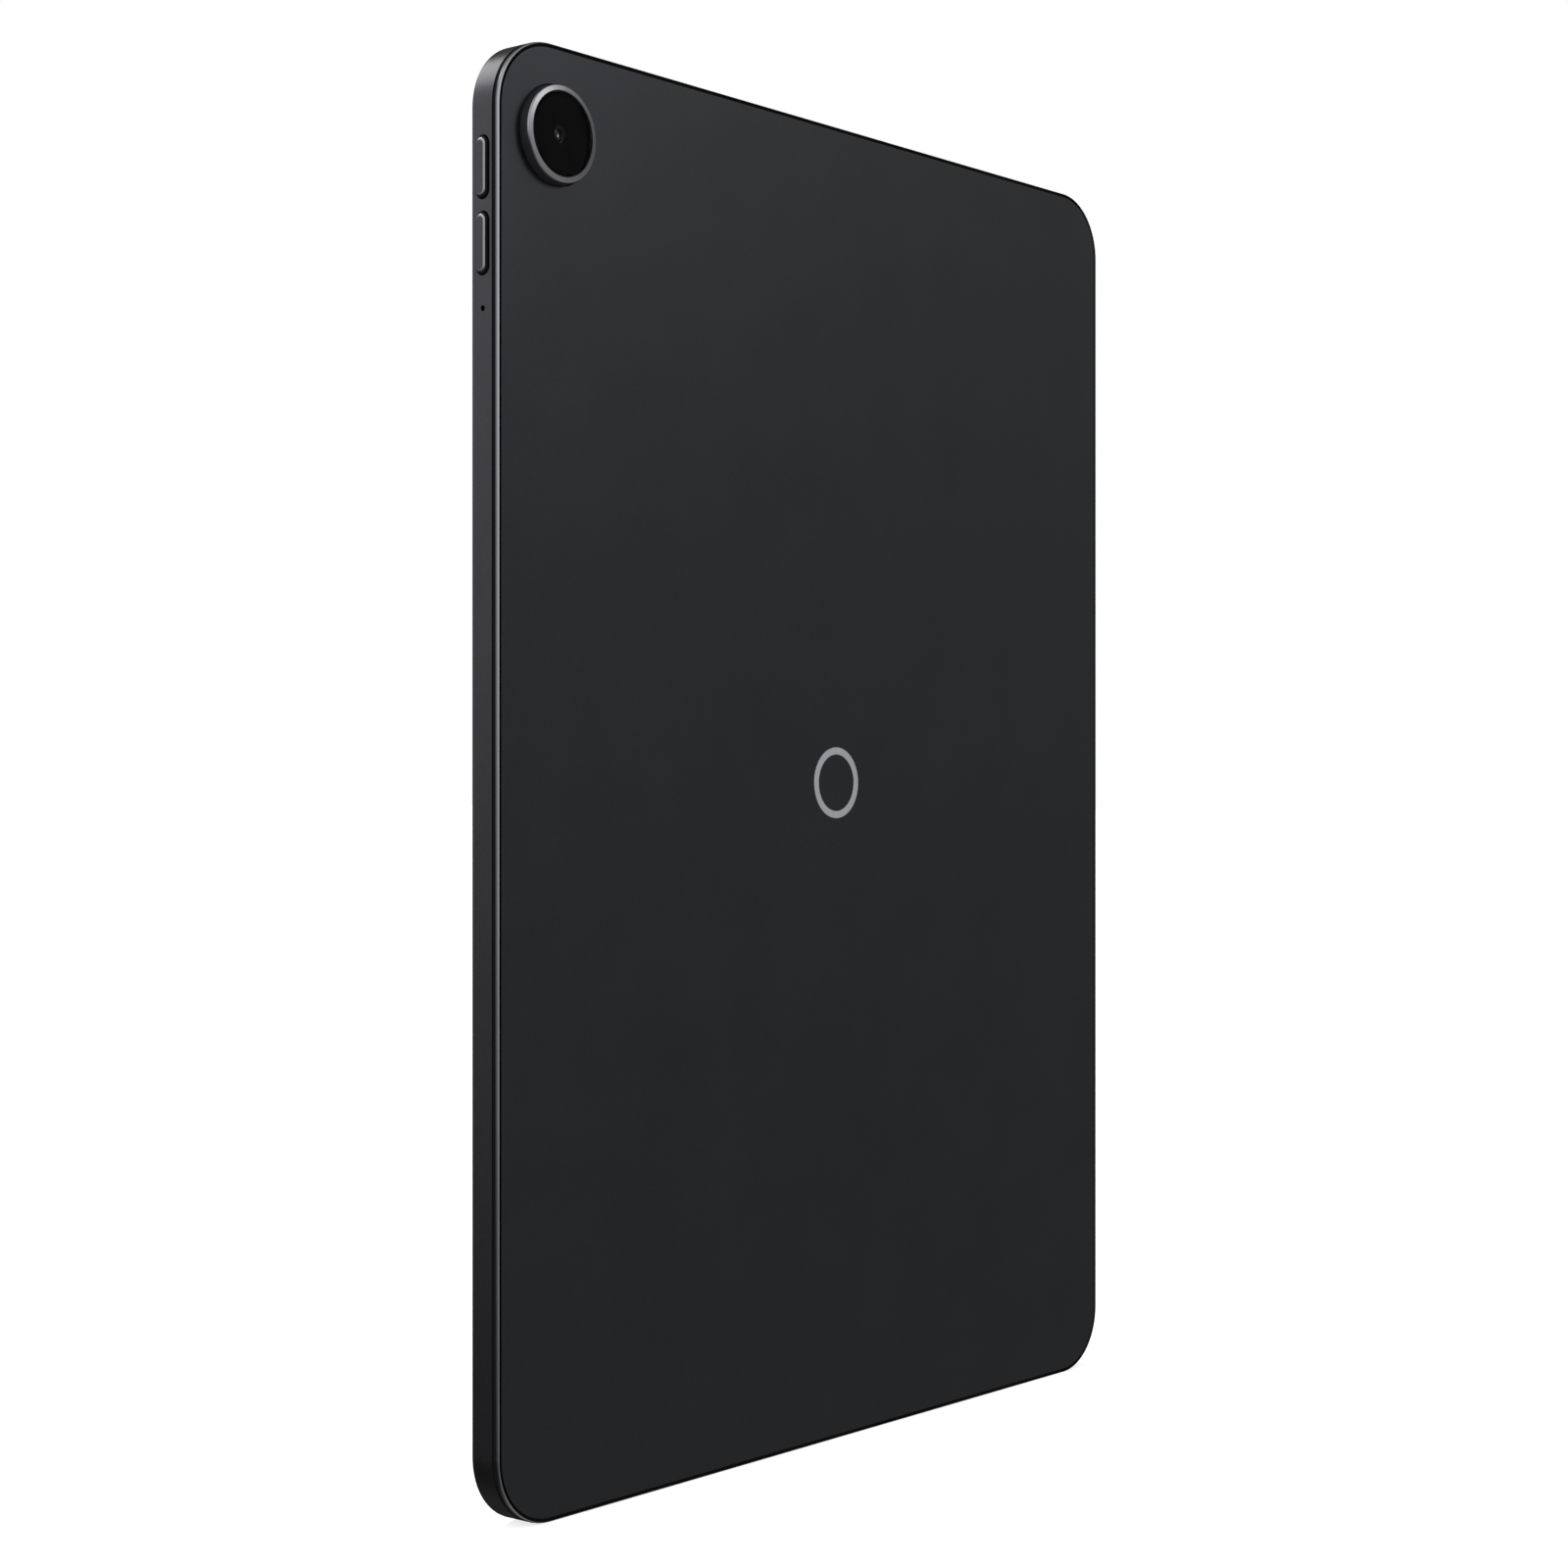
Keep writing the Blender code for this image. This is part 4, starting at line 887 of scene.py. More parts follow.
class Finishes:
    """Every finish of the tablet, each made once."""

    COVER = BlastedMetal("charcoal_cover", (0.0308, 0.0325, 0.0352), 0.38, 1.0)
    FRAME = BlastedMetal("charcoal_frame", (0.0352, 0.0349, 0.0390), 0.33, 1.0)
    RING = BlastedMetal("ring_flank", (0.042, 0.042, 0.046), 0.48, 0.8, specular=0.3, grain=0.12)
    # Polished chamfer whose colour is a painted highlight: brightest near the back, darkening to painted
    # shade towards the groove.
    CHAMFER = CutMetal("polished_chamfer_painted_sheen", (0.25, 0.255, 0.265), 0.20, 1.0, painted_dark_end=(0.03, 0.03, 0.034))
    KEY_EDGE = CutMetal("key_chamfer", (0.17, 0.17, 0.18), 0.24, 1.0)
    RIM = CutMetal("camera_rim", (0.19, 0.19, 0.20), 0.25, 1.0)
    KEY = BlastedMetal("button_aluminium", (0.036, 0.036, 0.040), 0.34, 1.0)
    EMBLEM = CutMetal("emblem_mirror", (0.54, 0.55, 0.57), 0.16, 1.0)
    # Painted shade: a near-black colour put in the frame's groove, hole walls, recesses and the keys' flanks,
    # where shade falls.
    PAINTED_SHADE = Finish("painted_shade_black", (0.004, 0.004, 0.0045), 0.6, specular=0.04)
    GLASS = ClearGlass("clear_glass", (1.0, 1.0, 1.0), ior=1.32)
    COATED_GLASS = ClearGlass("coated_glass", (1.0, 1.0, 1.0), ior=1.07)
    INK = InkPrint("black_ink", (0.0020, 0.0021, 0.0024), 0.35, specular=0.0)
    LENS = CoatedLens("coated_lens", (0.003, 0.002, 0.005), 0.04, specular=0.06)
    GASKET = Finish("gasket_rubber", (0.004, 0.004, 0.004), 0.8, specular=0.06)
    PANEL = DarkPanel("display_panel", (0.0075, 0.0076, 0.0085), 0.2, specular=0.01)
    MESH = WovenMesh("speaker_mesh", (0.10, 0.10, 0.11), 0.35, 1.0)
    GOLD = CutMetal("gold_contact", (0.78, 0.56, 0.25), 0.22, 1.0)
    STEEL = SheetSteel("sheet_steel", (0.46, 0.46, 0.48), 0.3, 1.0)
    PLASTIC = Finish("black_plastic", (0.014, 0.014, 0.015), 0.45)
    FOAM = Finish("black_foam", (0.009, 0.009, 0.009), 0.9)
    POUCH = FoilPouch("battery_pouch", (0.13, 0.13, 0.14), 0.35, 0.7)
    BOARD = CircuitBoard("circuit_board", (0.006, 0.045, 0.022), 0.4)
    RESIN = Finish("chip_resin", (0.013, 0.013, 0.014), 0.55)
    FLEX = Finish("flex_film", (0.22, 0.095, 0.02), 0.3)
    FILM = Finish("clear_film", (0.72, 0.75, 0.78), 0.2)
    GRAPHITE = Finish("graphite", (0.025, 0.025, 0.027), 0.4, 0.4)
    COPPER = SheetSteel("copper_foil", (0.78, 0.36, 0.2), 0.3, 1.0)

    made: dict[str, Material] = {}

    @classmethod
    def get(cls, finish: Finish) -> Material:
        """The finish's material."""
        if finish.name not in cls.made:
            cls.made[finish.name] = finish.build()
        return cls.made[finish.name]


def dress(piece: Piece, body: str, nodes: Sequence[str] = ()) -> None:
    """Tie a finished piece to its body.

    Args:
        piece: the piece.
        body: the body that it moves with.
        nodes: the solids that it is shown instead of.
    """
    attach(piece, body)
    if nodes:
        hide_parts(*nodes)
    LOG.info("%s rides on %s: %d faces", piece.name, body, len(piece.data.polygons))


# ---------------------------------------------------------------- the tablet


def middle(node: str) -> Vector:
    """The middle of a solid's box."""
    low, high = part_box(node)
    return (low + high) / 2


@dataclass
class Shell:
    """The metal shell: side frame, rear cover, gaskets and the emblem ring, in millimetres."""

    outline: Outline
    seam: float = 0.30  # between the ledge and the rear cover
    lip: float = 0.30
    cover_in: float = 0.84
    cover_thick: float = 0.7
    chamfer_in: float = 0.13
    chamfer_end: float = 0.79
    # depth up to which the chamfer's painted highlight stays full
    sheen_full_depth: float = 0.14
    groove_in: float = 0.20
    groove_end: float = 1.64
    front: float = 6.7
    wall: float = 2.4
    ledge: float = 3.0
    front_lip: float = 1.1
    key_y: float = 3.9
    key_lip: float = 0.45
    key_gap: float = 0.25
    key_slot: float = 3.2
    mic_hole: tuple[float, float] = (1.0, 0.999)
    speaker_slot: tuple[float, float] = (2.6, 1.3)
    speaker_slots: int = 5
    speaker_pitch: float = 3.9
    socket_mouth: tuple[float, float] = (9.2, 3.52)
    tray_mouth: tuple[float, float] = (15.85, 2.45)
    camera_hole_r: float = 9.15
    emblem_r: tuple[float, float] = (5.7, 7.2)

    def frame_profile(self) -> Profile:
        """The frame's section: lip, chamfer, groove, flat side, rounded front edge and inner ledges."""
        back = self.cover_thick + self.seam
        profile = Profile.rounded(
            [
                (self.lip, 0.0, 0.02),
                (self.chamfer_in, 0.15, 0.25),
                (0.04, 0.43, 0.9),
                (0.0, self.chamfer_end, 0.03),
                (self.groove_in, self.chamfer_end + 0.10, 0),
                (self.groove_in, self.groove_end - 0.10, 0),
                (0.0, self.groove_end, 0.06),
                (0.0, self.front, 0.40),
                (self.front_lip, self.front, 0.06),
                (self.front_lip, 5.8, 0),
                (self.wall, 5.8, 0),
                (self.wall, back + 0.6, 0),
                (self.ledge, back + 0.6, 0),
                (self.ledge, back, 0),
                (self.lip, back, 0),
            ],
            closed=True,
        )
        # On the chamfer the edge attribute holds a painted highlight: full near the back, fading to painted
        # shade where the chamfer meets the groove.
        depth = profile.points[:, 1] / MM
        painted_sheen = np.clip((self.chamfer_end - depth) / (self.chamfer_end - self.sheen_full_depth), 0.0, 1.0)
        profile.edge = np.where(depth < self.chamfer_end + 0.01, painted_sheen, profile.edge)
        return profile

    def opening(self, side: Side, along: float, y: float, length: float, width: float, flare: float) -> Skin:
        """An oblong opening through the wall, with a small flare at its mouth.

        Args:
            side: the side it goes through.
            along: its place along the side, in metres.
            y: its depth, in millimetres.
            length: its length along the side, in millimetres.
            width: its width, in millimetres.
            flare: how much the mouth opens out, in millimetres.

        Returns:
            The cutter.
        """
        sections = np.array(
            [
                (length, width, -(self.ledge + 0.5)),
                (length, width, -flare),
                (length + 2 * flare, width + 2 * flare, 0.0),
                (length + 4 * flare, width + 4 * flare, flare),
            ]
        )
        # The walls deep in each opening take the painted shade (material 2); the flared mouth keeps the
        # frame's finish.
        return side.stack(self.outline, along, y * MM, sections * MM, finish=np.array([2, 0, 0, 0]))

    def openings(self) -> Skin:
        """All the openings in the frame: keys, microphones, speakers, charging socket and card tray."""
        cuts = []
        for node, side, axis in (
            ("volume_up_button", Side.LEFT, 2),
            ("volume_down_button", Side.LEFT, 2),
            ("power_button", Side.TOP, 0),
        ):
            low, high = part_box(node)
            span = (high - low)[axis] / MM + 2 * (self.key_gap - self.key_lip)
            cuts.append(self.opening(side, middle(node)[axis], self.key_y, span, self.key_slot, 0.05))
        for side, along in (
            (Side.LEFT, middle("side_microphone").z),
            (Side.BOTTOM, middle("bottom_microphone").x),
        ):
            cuts.append(self.opening(side, along, self.key_y, *self.mic_hole, 0.06))
        steps = np.arange(self.speaker_slots) - (self.speaker_slots - 1) / 2
        for where, side in (("top", Side.TOP), ("bottom", Side.BOTTOM)):
            for hand in ("left", "right"):
                for along in middle(f"speaker_mesh_{where}_{hand}").x + steps * self.speaker_pitch * MM:
                    cuts.append(self.opening(side, along, self.key_y, *self.speaker_slot, 0.08))
        for node, mouth, flare in (
            ("usb_shell", self.socket_mouth, 0.12),
            ("card_tray", self.tray_mouth, 0.04),
        ):
            spot = middle(node)
            cuts.append(self.opening(Side.BOTTOM, spot.x, spot.y / MM, *mouth, flare))
        return Skin.join(cuts)

    def build(self) -> None:
        """Make the frame, the cover, their gaskets and the emblem."""
        finishes = [Finishes.FRAME, Finishes.CHAMFER, Finishes.PAINTED_SHADE]
        # Stretches numbered 2, the groove and the inner faces, take the painted shade; 1 is the chamfer, with
        # its painted highlight.
        stretches = np.array([1, 1, 1, 2, 2, 2, 0, 0, 2, 2, 2, 2, 2, 2, 2])
        side = self.outline.sweep(self.frame_profile(), stretches).build("side_frame_shell", finishes)
        carve(side, self.openings())
        dress(side, "body", ["side_frame"])
        self.build_cover()
        self.build_gaskets()
        self.build_emblem()

    def build_cover(self) -> None:
        """Make the flat rear cover, with its camera hole and the recess of the emblem."""
        inset = self.cover_in
        profile = Profile.rounded(
            [
                (inset + 6.0, 0.0, 0),
                (inset, 0.0, 0.20),
                (inset, self.cover_thick, 0.0),
                (inset + 6.0, self.cover_thick, 0),
            ],
            closed=False,
        )
        finishes = [Finishes.COVER, Finishes.PAINTED_SHADE]
        cover = self.outline.sweep(profile, ring=False).build("rear_cover_plate", finishes)
        camera = middle("camera_ring")
        hole = Profile.rounded(
            [
                (self.camera_hole_r + 0.5, -0.5, 0),
                (self.camera_hole_r, 0.06, 0),
                (self.camera_hole_r, self.cover_thick + 1.0, 0),
            ],
            closed=False,
        )
        inner, outer = self.emblem_r[0] - 0.06, self.emblem_r[1] + 0.06
        recess = Profile.rounded(
            [(inner, -0.5, 0), (outer, -0.5, 0), (outer, 0.4, 0), (inner, 0.4, 0)], closed=True
        )
        # The camera hole's wall and the emblem recess take the painted shade (material 1).
        cuts = [
            Axis(camera.x, camera.z, 128).sweep(hole, 1, ring=False),
            Axis(0.0, 0.0).sweep(recess, 1),
        ]
        carve(cover, Skin.join(cuts))
        dress(cover, "body", ["rear_cover"])

    def build_gaskets(self) -> None:
        """Make the black gaskets in the rear seam and round the display glass."""
        rear = (self.lip + 0.02, self.cover_in - 0.02)
        glass = (self.front_lip + 0.02, self.front_lip + 0.28)
        for name, (outer, inner), (back, back_r), (front, front_r) in (
            ("rear_gasket", rear, (0.45, 0.05), (0.98, 0.0)),
            ("display_gasket", glass, (5.85, 0.0), (6.58, 0.05)),
        ):
            rim = [(outer, back, back_r), (outer, front, front_r)]
            foot = [(inner, front, front_r), (inner, back, back_r)]
            gasket = self.outline.sweep(Profile.rounded(rim + foot, closed=True, steps=3, guard=0.01))
            dress(gasket.build(name, [Finishes.GASKET]), "body")

    def build_emblem(self) -> None:
        """Make the polished ring that is inlaid in the back."""
        inner, outer = self.emblem_r
        corners = [(inner, 0.02, 0.05), (outer, 0.02, 0.05), (outer, 0.28, 0), (inner, 0.28, 0)]
        profile = Profile.rounded(corners, closed=True, steps=3)
        ring = Axis(0.0, 0.0, 144).sweep(profile).build("emblem_ring_inlay", [Finishes.EMBLEM])
        dress(ring, "body", ["emblem_ring"])


@dataclass
class CameraBump:
    """The round camera bump: metal ring, printed cover glass and the lens behind it, in millimetres."""

    proud: float = 2.05
    glass_y: tuple[float, float] = (-2.0, -1.26)
    ink_y: tuple[float, float] = (-1.255, -1.215)
    outer_r: float = 8.8
    base_r: float = 9.0
    rim: float = 1.15
    aperture_r: float = 1.62
    lens_r: float = 1.32
    bezel_r: float = 1.62
    dish_r: float = 0.6
    dish_slope: float = 0.38
    shine_r: float = 0.42

    def build(self) -> None:
        """Make the ring, the glass, the print under it and the lens."""
        centre = middle("camera_ring")
        x, z = centre.x, centre.z
        pocket = self.outer_r - self.rim
        top = -self.proud
        ring = Profile.rounded(
            [
                (pocket, top + 0.03, 0.03),
                (pocket + 0.18, top, 0.10),
                (self.outer_r - 0.10, top + 0.16, 0.12),
                (self.outer_r + 0.02, top + 0.42, 0.12),
                (self.base_r, 0.04, 0.10),
                (self.base_r, 1.0, 0),
                (self.base_r + 1.2, 1.0, 0),
                (self.base_r + 1.2, 1.5, 0),
                (pocket - 1.25, 1.5, 0),
                (pocket - 1.25, -0.9, 0),
                (pocket, -0.9, 0),
            ],
            closed=True,
        )
        stretches = np.array([0, 1, 1, 0, 0, 0, 0, 0, 0, 0, 0])
        finishes = [Finishes.RING, Finishes.RIM]
        shell = Axis(x, z, 144).sweep(ring, stretches).build("camera_ring_shell", finishes)
        dress(shell, "body", ["camera_ring"])
        rim, (face, back) = pocket - 0.12, self.glass_y
        glass = Profile.rounded(
            [(0.0, back, 0), (rim, back, 0), (rim, face, 0.08), (0.0, face, 0)], closed=False
        )
        disc = Axis(x, z, 128).sweep(glass, ring=False).build("camera_cover_glass", [Finishes.COATED_GLASS])
        dress(disc, "body", ["camera_glass"])
        inner, outer, (face, back) = self.aperture_r, pocket - 0.05, self.ink_y
        ink = Profile.rounded(
            [(inner, face, 0), (outer, face, 0), (outer, back, 0), (inner, back, 0)], closed=True
        )
        ring = Axis(x, z).sweep(ink).build("camera_ink", [Finishes.INK])
        dress(ring, "body")
        self.build_barrel(x, z)

    def build_barrel(self, x: float, z: float) -> None:
        """Make the lens barrel and its front lens, which move together to focus.

        The lens falls in by the dish's slope times the radius squared, out to the dish's edge, and rises
        from there with the square of the way to its rim. Its shine is e to minus the fourth power of
        radius over shine radius.

        Args:
            x: the lens axis's place across.
            z: its height.
        """
        barrel = Profile.rounded(
            [
                (self.lens_r, -0.30, 0), (self.lens_r, -0.56, 0.02), (self.bezel_r, -0.60, 0.05),
                (self.bezel_r + 0.1, -0.40, 0.05), (2.5, -0.40, 0.05), (3.05, -0.10, 0.05), (3.1, 0.2, 0.05),
                (3.1, 2.1, 0.1), (self.lens_r, 2.1, 0),
            ],
            closed=True,
        )
        stretches = np.array([0, 1, 0, 0, 0, 0, 0, 0, 0])
        finishes = [Finishes.PLASTIC, Finishes.RING]
        body = Axis(x, z, 72).sweep(barrel, stretches).build("lens_barrel_body", finishes)
        dress(body, "lens", ["lens_barrel"])
        radius = np.linspace(0, self.lens_r * 0.985, 27)
        dish = -0.34 - self.dish_slope * np.minimum(radius, self.dish_r) ** 2
        fall = np.maximum(radius - self.dish_r, 0.0) / (self.lens_r - self.dish_r)
        points = np.stack([radius, dish + 0.13 * fall**2], 1)
        points = np.concatenate([points, [[radius[-1], 0.3], [0.0, 0.3]]])
        shine = np.append(np.exp(-((radius / self.shine_r) ** 4)), [0.0, 0.0])
        lens = Axis(x, z, 64).sweep(Profile.plain(points, shine), ring=False)
        dress(lens.build("front_lens", [Finishes.LENS]), "lens")


@dataclass
class Keys:
    """The volume and power keys, chamfered oblong caps with a lip behind the wall, in millimetres."""

    outline: Outline
    y: float = 3.9
    width: float = 2.7
    lip: float = 0.45
    proud: float = 0.6

    def sections(self, length: float) -> tuple[Array, Array, Array, Array]:
        """Sections of a key, from its lip out to the middle of its face.

        The cap is bevelled widely towards the tablet's back and only a little towards its front, so each
        section is drawn in by one amount at its back and its two ends, by another at its front, and its
        middle shifts by half the difference.

        Args:
            length: the cap's length, in millimetres.

        Returns:
            Length, width and height of each section in millimetres, its shift, its material number and
            its exposure.
        """
        cap, lip = self.proud, -self.lip
        # Material 2, on the lip and on the flank that stands proud of the wall, is painted shade; 1 is the
        # cut chamfer.
        rows = [
            (lip, lip, -3.2, 2, 0.0), (lip, lip, -2.7, 2, 0.0), (0.0, 0.0, -2.7, 2, 0.0),
            (0.0, 0.0, -0.4, 2, 0.0), (0.0, 0.0, cap - 0.27, 2, 0.0), (0.04, 0.01, cap - 0.21, 2, 0.0),
            (0.32, 0.05, cap - 0.12, 1, 0.0), (0.38, 0.06, cap - 0.09, 1, 0.0),
            (0.60, 0.11, cap - 0.03, 1, 0.0), (0.70, 0.15, cap - 0.012, 0, 0.2),
            (0.90, 0.26, cap, 0, 0.0), (1.15, 0.60, cap, 0, 0.0),
        ]
        back, front, height, finish, exposure = (np.array(part) for part in zip(*rows))
        size = np.stack([length - 2 * back, self.width - back - front, height], 1)
        return size, (back - front) / 2, finish.astype(int), exposure

    def build(self) -> None:
        """Make the three keys."""
        finishes = [Finishes.KEY, Finishes.KEY_EDGE, Finishes.PAINTED_SHADE]
        for node, side, body, axis in (
            ("volume_up_button", Side.LEFT, "volume_up", 2),
            ("volume_down_button", Side.LEFT, "volume_down", 2),
            ("power_button", Side.TOP, "power", 0),
        ):
            low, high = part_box(node)
            length = (high - low)[axis] / MM - 2 * self.lip
            sections, shift, finish, exposure = self.sections(length)
            place = (self.outline, middle(node)[axis], self.y * MM)
            skin = side.stack(*place, sections * MM, 20, finish, exposure, shift=shift * MM)
            dress(skin.build(f"{node}_key", finishes, 25.0), body, [node])


@dataclass
class DisplayFace:
    """The front: cover glass with rounded edges, black border print and front camera, in millimetres."""

    outline: Outline
    inset: float = 1.4
    back: float = 6.1
    front: float = 6.8
    active_x: float = 89.3
    active_z: float = 125.05
    active_r: float = 3.0
    window_r: float = 1.15
    camera_in: float = 1.05  # from the camera block's left side to its axis

    def camera_x(self) -> float:
        """The front camera's place across."""
        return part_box("front_camera")[0].x + self.camera_in * MM

    def build(self) -> None:
        """Make the glass, the border print and the front camera's bezel and lens."""
        glass = Profile.rounded(
            [
                (self.inset + 6.0, self.back, 0), (self.inset, self.back, 0.06),
                (self.inset, self.front, 0.34), (self.inset + 6.0, self.front, 0),
            ],
            closed=False,
            steps=8,
        )
        plate = self.outline.sweep(glass, np.array([0, 1, 0, 0]), ring=False)
        finishes = [Finishes.GLASS, Finishes.INK]
        dress(plate.build("display_cover_glass", finishes, 40.0), "body", ["cover_glass"])
        self.build_border()
        self.build_camera()

    def build_border(self) -> None:
        """Make the black print between the glass's edge and the lit area, with a window for the camera.

        Its inner outline is a rectangle with round corners: each point is the corner's centre plus the
        radius times (cos a, sin a), with a shared out over the same number of points as the outer
        outline.
        """
        around, normal = self.outline.trace()
        outer = around - normal * (self.inset + 0.05) * MM
        angle = np.arctan2(normal[:, 1], normal[:, 0])
        hub = np.array([self.active_x, self.active_z]) * MM - self.active_r * MM
        bend = np.stack([np.cos(angle), np.sin(angle)], 1) * self.active_r * MM
        inner = np.clip(around, -hub, hub) + bend
        levels = ((outer, 6.09), (inner, 6.09), (inner, 6.05), (outer, 6.05))
        rows = [np.stack([xz[:, 0], np.full(len(xz), y * MM), xz[:, 1]], 1) for xz, y in levels]
        border = Skin.grid(np.stack(rows), wrap_rows=True).build("border_ink", [Finishes.INK])
        x = self.camera_x()
        hole = Profile.rounded([(self.window_r, 5.9, 0), (self.window_r, 6.2, 0)], closed=False)
        carve(border, Axis(x, 0.0, 48).sweep(hole, ring=False))
        dress(border, "body")

    def build_camera(self) -> None:
        """Make the front camera's ring and lens, seen through the window in the print."""
        x = self.camera_x()
        bezel = Profile.rounded(
            [(0.62, 6.0, 0), (0.7, 6.035, 0.01), (1.3, 6.035, 0.01), (1.3, 6.01, 0), (0.62, 6.01, 0)],
            closed=True,
        )
        ring = Axis(x, 0.0, 48).sweep(bezel).build("front_camera_bezel", [Finishes.PLASTIC])
        dress(ring, "body")
        bulge = np.linspace(0, 1, 10)
        points = np.stack([0.6 * bulge, 6.012 + 0.03 * (1 - bulge**2)], 1)
        profile = Profile.plain(np.concatenate([points, [[0.6, 6.002], [0.0, 6.002]]]))
        lens = Axis(x, 0.0, 48).sweep(profile, ring=False).build("front_camera_lens", [Finishes.LENS])
        dress(lens, "body")


@dataclass
class Ports:
    """The charging socket and the memory-card tray in the bottom side, in millimetres."""

    outline: Outline
    shell: tuple[float, float] = (8.94, 3.26)
    contacts: int = 12
    contact_pitch: float = 0.5
    contact_half: float = 0.11
    contact_y: tuple[float, float] = (0.34, 0.365)
    contact_z: tuple[float, float] = (1.4, 4.0)  # behind the mouth
    cap: tuple[float, float] = (15.6, 2.2)
    pin_at: float = 6.7
    sled_behind: float = 1.6

    @staticmethod
    def sections(size: tuple[float, float], rows: Sequence[tuple]) -> tuple[Array, Array]:
        """Sections of one size that grows by a row's first number, at the height of its second.

        Args:
            size: length and width, in millimetres.
            rows: growth and height in millimetres, and exposure, of each section.

        Returns:
            Length, width and height of each section in metres, and its exposure.
        """
        grow, height, exposure = np.array(rows).T
        return np.stack([size[0] + grow, size[1] + grow, height], 1) * MM, exposure

    def build(self) -> None:
        """Make both."""
        self.build_socket()
        self.build_tray()

    def build_socket(self) -> None:
        """Make the socket's drawn steel shell, its tongue and the tongue's gold contacts."""
        spot = middle("usb_shell")
        rows = [
            (0.0, -0.33, 0.0), (-0.06, -0.27, 0.5), (-0.2, -0.25, 0.8), (-0.46, -0.27, 0.5),
            (-0.6, -0.40, 0.0), (-0.6, -6.15, 0.0), (0.0, -6.15, 0.0),
        ]
        sections, exposure = self.sections(self.shell, rows)
        shell = Side.BOTTOM.stack(self.outline, spot.x, spot.y, sections, 20, 0, exposure, ring=True)
        dress(shell.build("socket_shell", [Finishes.STEEL]), "body", ["usb_shell"])
        tongue = np.array(
            [
                (7.9, 2.3, -6.1), (7.9, 2.3, -5.2), (7.0, 1.4, -5.1),
                (6.6, 0.7, -5.0), (6.6, 0.7, -1.15), (6.4, 0.5, -1.05),
            ]
        )
        blade = Side.BOTTOM.stack(self.outline, spot.x, spot.y, tongue * MM, 8)
        dress(blade.build("socket_tongue", [Finishes.PLASTIC]), "body", ["usb_tongue"])
        steps = np.arange(self.contacts) - (self.contacts - 1) / 2
        across = spot.x + steps * self.contact_pitch * MM
        half = self.contact_half * MM
        base, tip = (-self.outline.end + z * MM for z in self.contact_z)
        lows, highs = [], []
        for face in (-1, 1):
            near, far = sorted(spot.y + face * y * MM for y in self.contact_y)
            lows += [(x - half, near, base) for x in across]
            highs += [(x + half, far, tip) for x in across]
        pads = bricks(np.array(lows), np.array(highs)).build("socket_contacts", [Finishes.GOLD])
        dress(pads, "body")

    def build_tray(self) -> None:
        """Make the card tray's flush cap, with its pin hole, and the sled behind it."""
        spot = middle("card_tray")
        finishes = [Finishes.FRAME, Finishes.PAINTED_SHADE]
        rows = [
            (0.0, -1.95, 0.0), (0.0, -0.12, 0.0), (-0.03, -0.07, 0.8),
            (-0.12, -0.05, 0.3), (-0.3, -0.05, 0.0),
        ]
        sections, exposure = self.sections(self.cap, rows)
        cap = Side.BOTTOM.stack(self.outline, spot.x, spot.y, sections, 20, 0, exposure)
        piece = cap.build("card_tray_cap", finishes)
        pin = np.array([(0.9, 0.899, -3.0), (0.9, 0.899, -0.1), (1.1, 1.099, 0.2)]) * MM
        # The pin hole's wall takes the painted shade (material 1).
        carve(piece, Side.BOTTOM.stack(self.outline, spot.x + self.pin_at * MM, spot.y, pin, 12, 1))
        dress(piece, "card", ["card_tray"])
        self.build_sled(spot)

    def build_sled(self, spot: Vector) -> None:
        """Make the sled: a bar round the card's window, with a step that the card lies on.

        It is a section of (distance inboard, y) carried round a rectangle with small round corners.

        Args:
            spot: the middle of the tray's solid.
        """
        base, tip = -self.outline.end + self.sled_behind * MM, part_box("card_tray")[1].z
        half_long = (tip - base) / 2
        rim = Outline(6.0 * MM, half_long, 1.2 * MM, 2.0, 8, 4.0 * MM)
        back = spot.y / MM - 1.0
        profile = Profile.rounded(
            [
                (0.0, back, 0.04), (0.0, back + 0.6, 0.05), (0.5, back + 0.6, 0.03), (0.5, back + 0.2, 0),
                (1.5, back + 0.2, 0.03), (1.5, back, 0.03),
            ],
            closed=True,
            steps=3,
        )
        skin = rim.sweep(profile)
        skin.points = skin.points + np.array([spot.x, 0.0, base + half_long])
        dress(skin.build("card_tray_sled", [Finishes.STEEL]), "card")


@dataclass
class Inside:
    """The inner parts, which keep their solids and get a finish each."""

    by_slot: dict[str, Finish] = field(
        default_factory=lambda: {
            "steel": Finishes.STEEL,
            "black_plastic": Finishes.PLASTIC,
            "black_foam": Finishes.FOAM,
            "battery_pouch": Finishes.POUCH,
            "circuit_board": Finishes.BOARD,
            "chip_resin": Finishes.RESIN,
            "flex_film": Finishes.FLEX,
            "clear_film": Finishes.FILM,
            "graphite": Finishes.GRAPHITE,
            "copper": Finishes.COPPER,
            "black_glass": Finishes.PANEL,
        }
    )

    def build(self) -> None:
        """Give every solid that is still shown its finish."""
        for row in frame["record"]["subparts"]:
            solid = frame["nodes"][row["node"]]
            if solid.hide_render:
                continue
            finish = self.by_slot[row["material_slot"]]
            if row["node"].startswith("speaker_mesh"):
                finish = Finishes.MESH
            for slot in solid.material_slots:
                slot.material = Finishes.get(finish)
            LOG.info("%s keeps its solid, in %s", row["node"], finish.name)


# ---------------------------------------------------------------- the studio


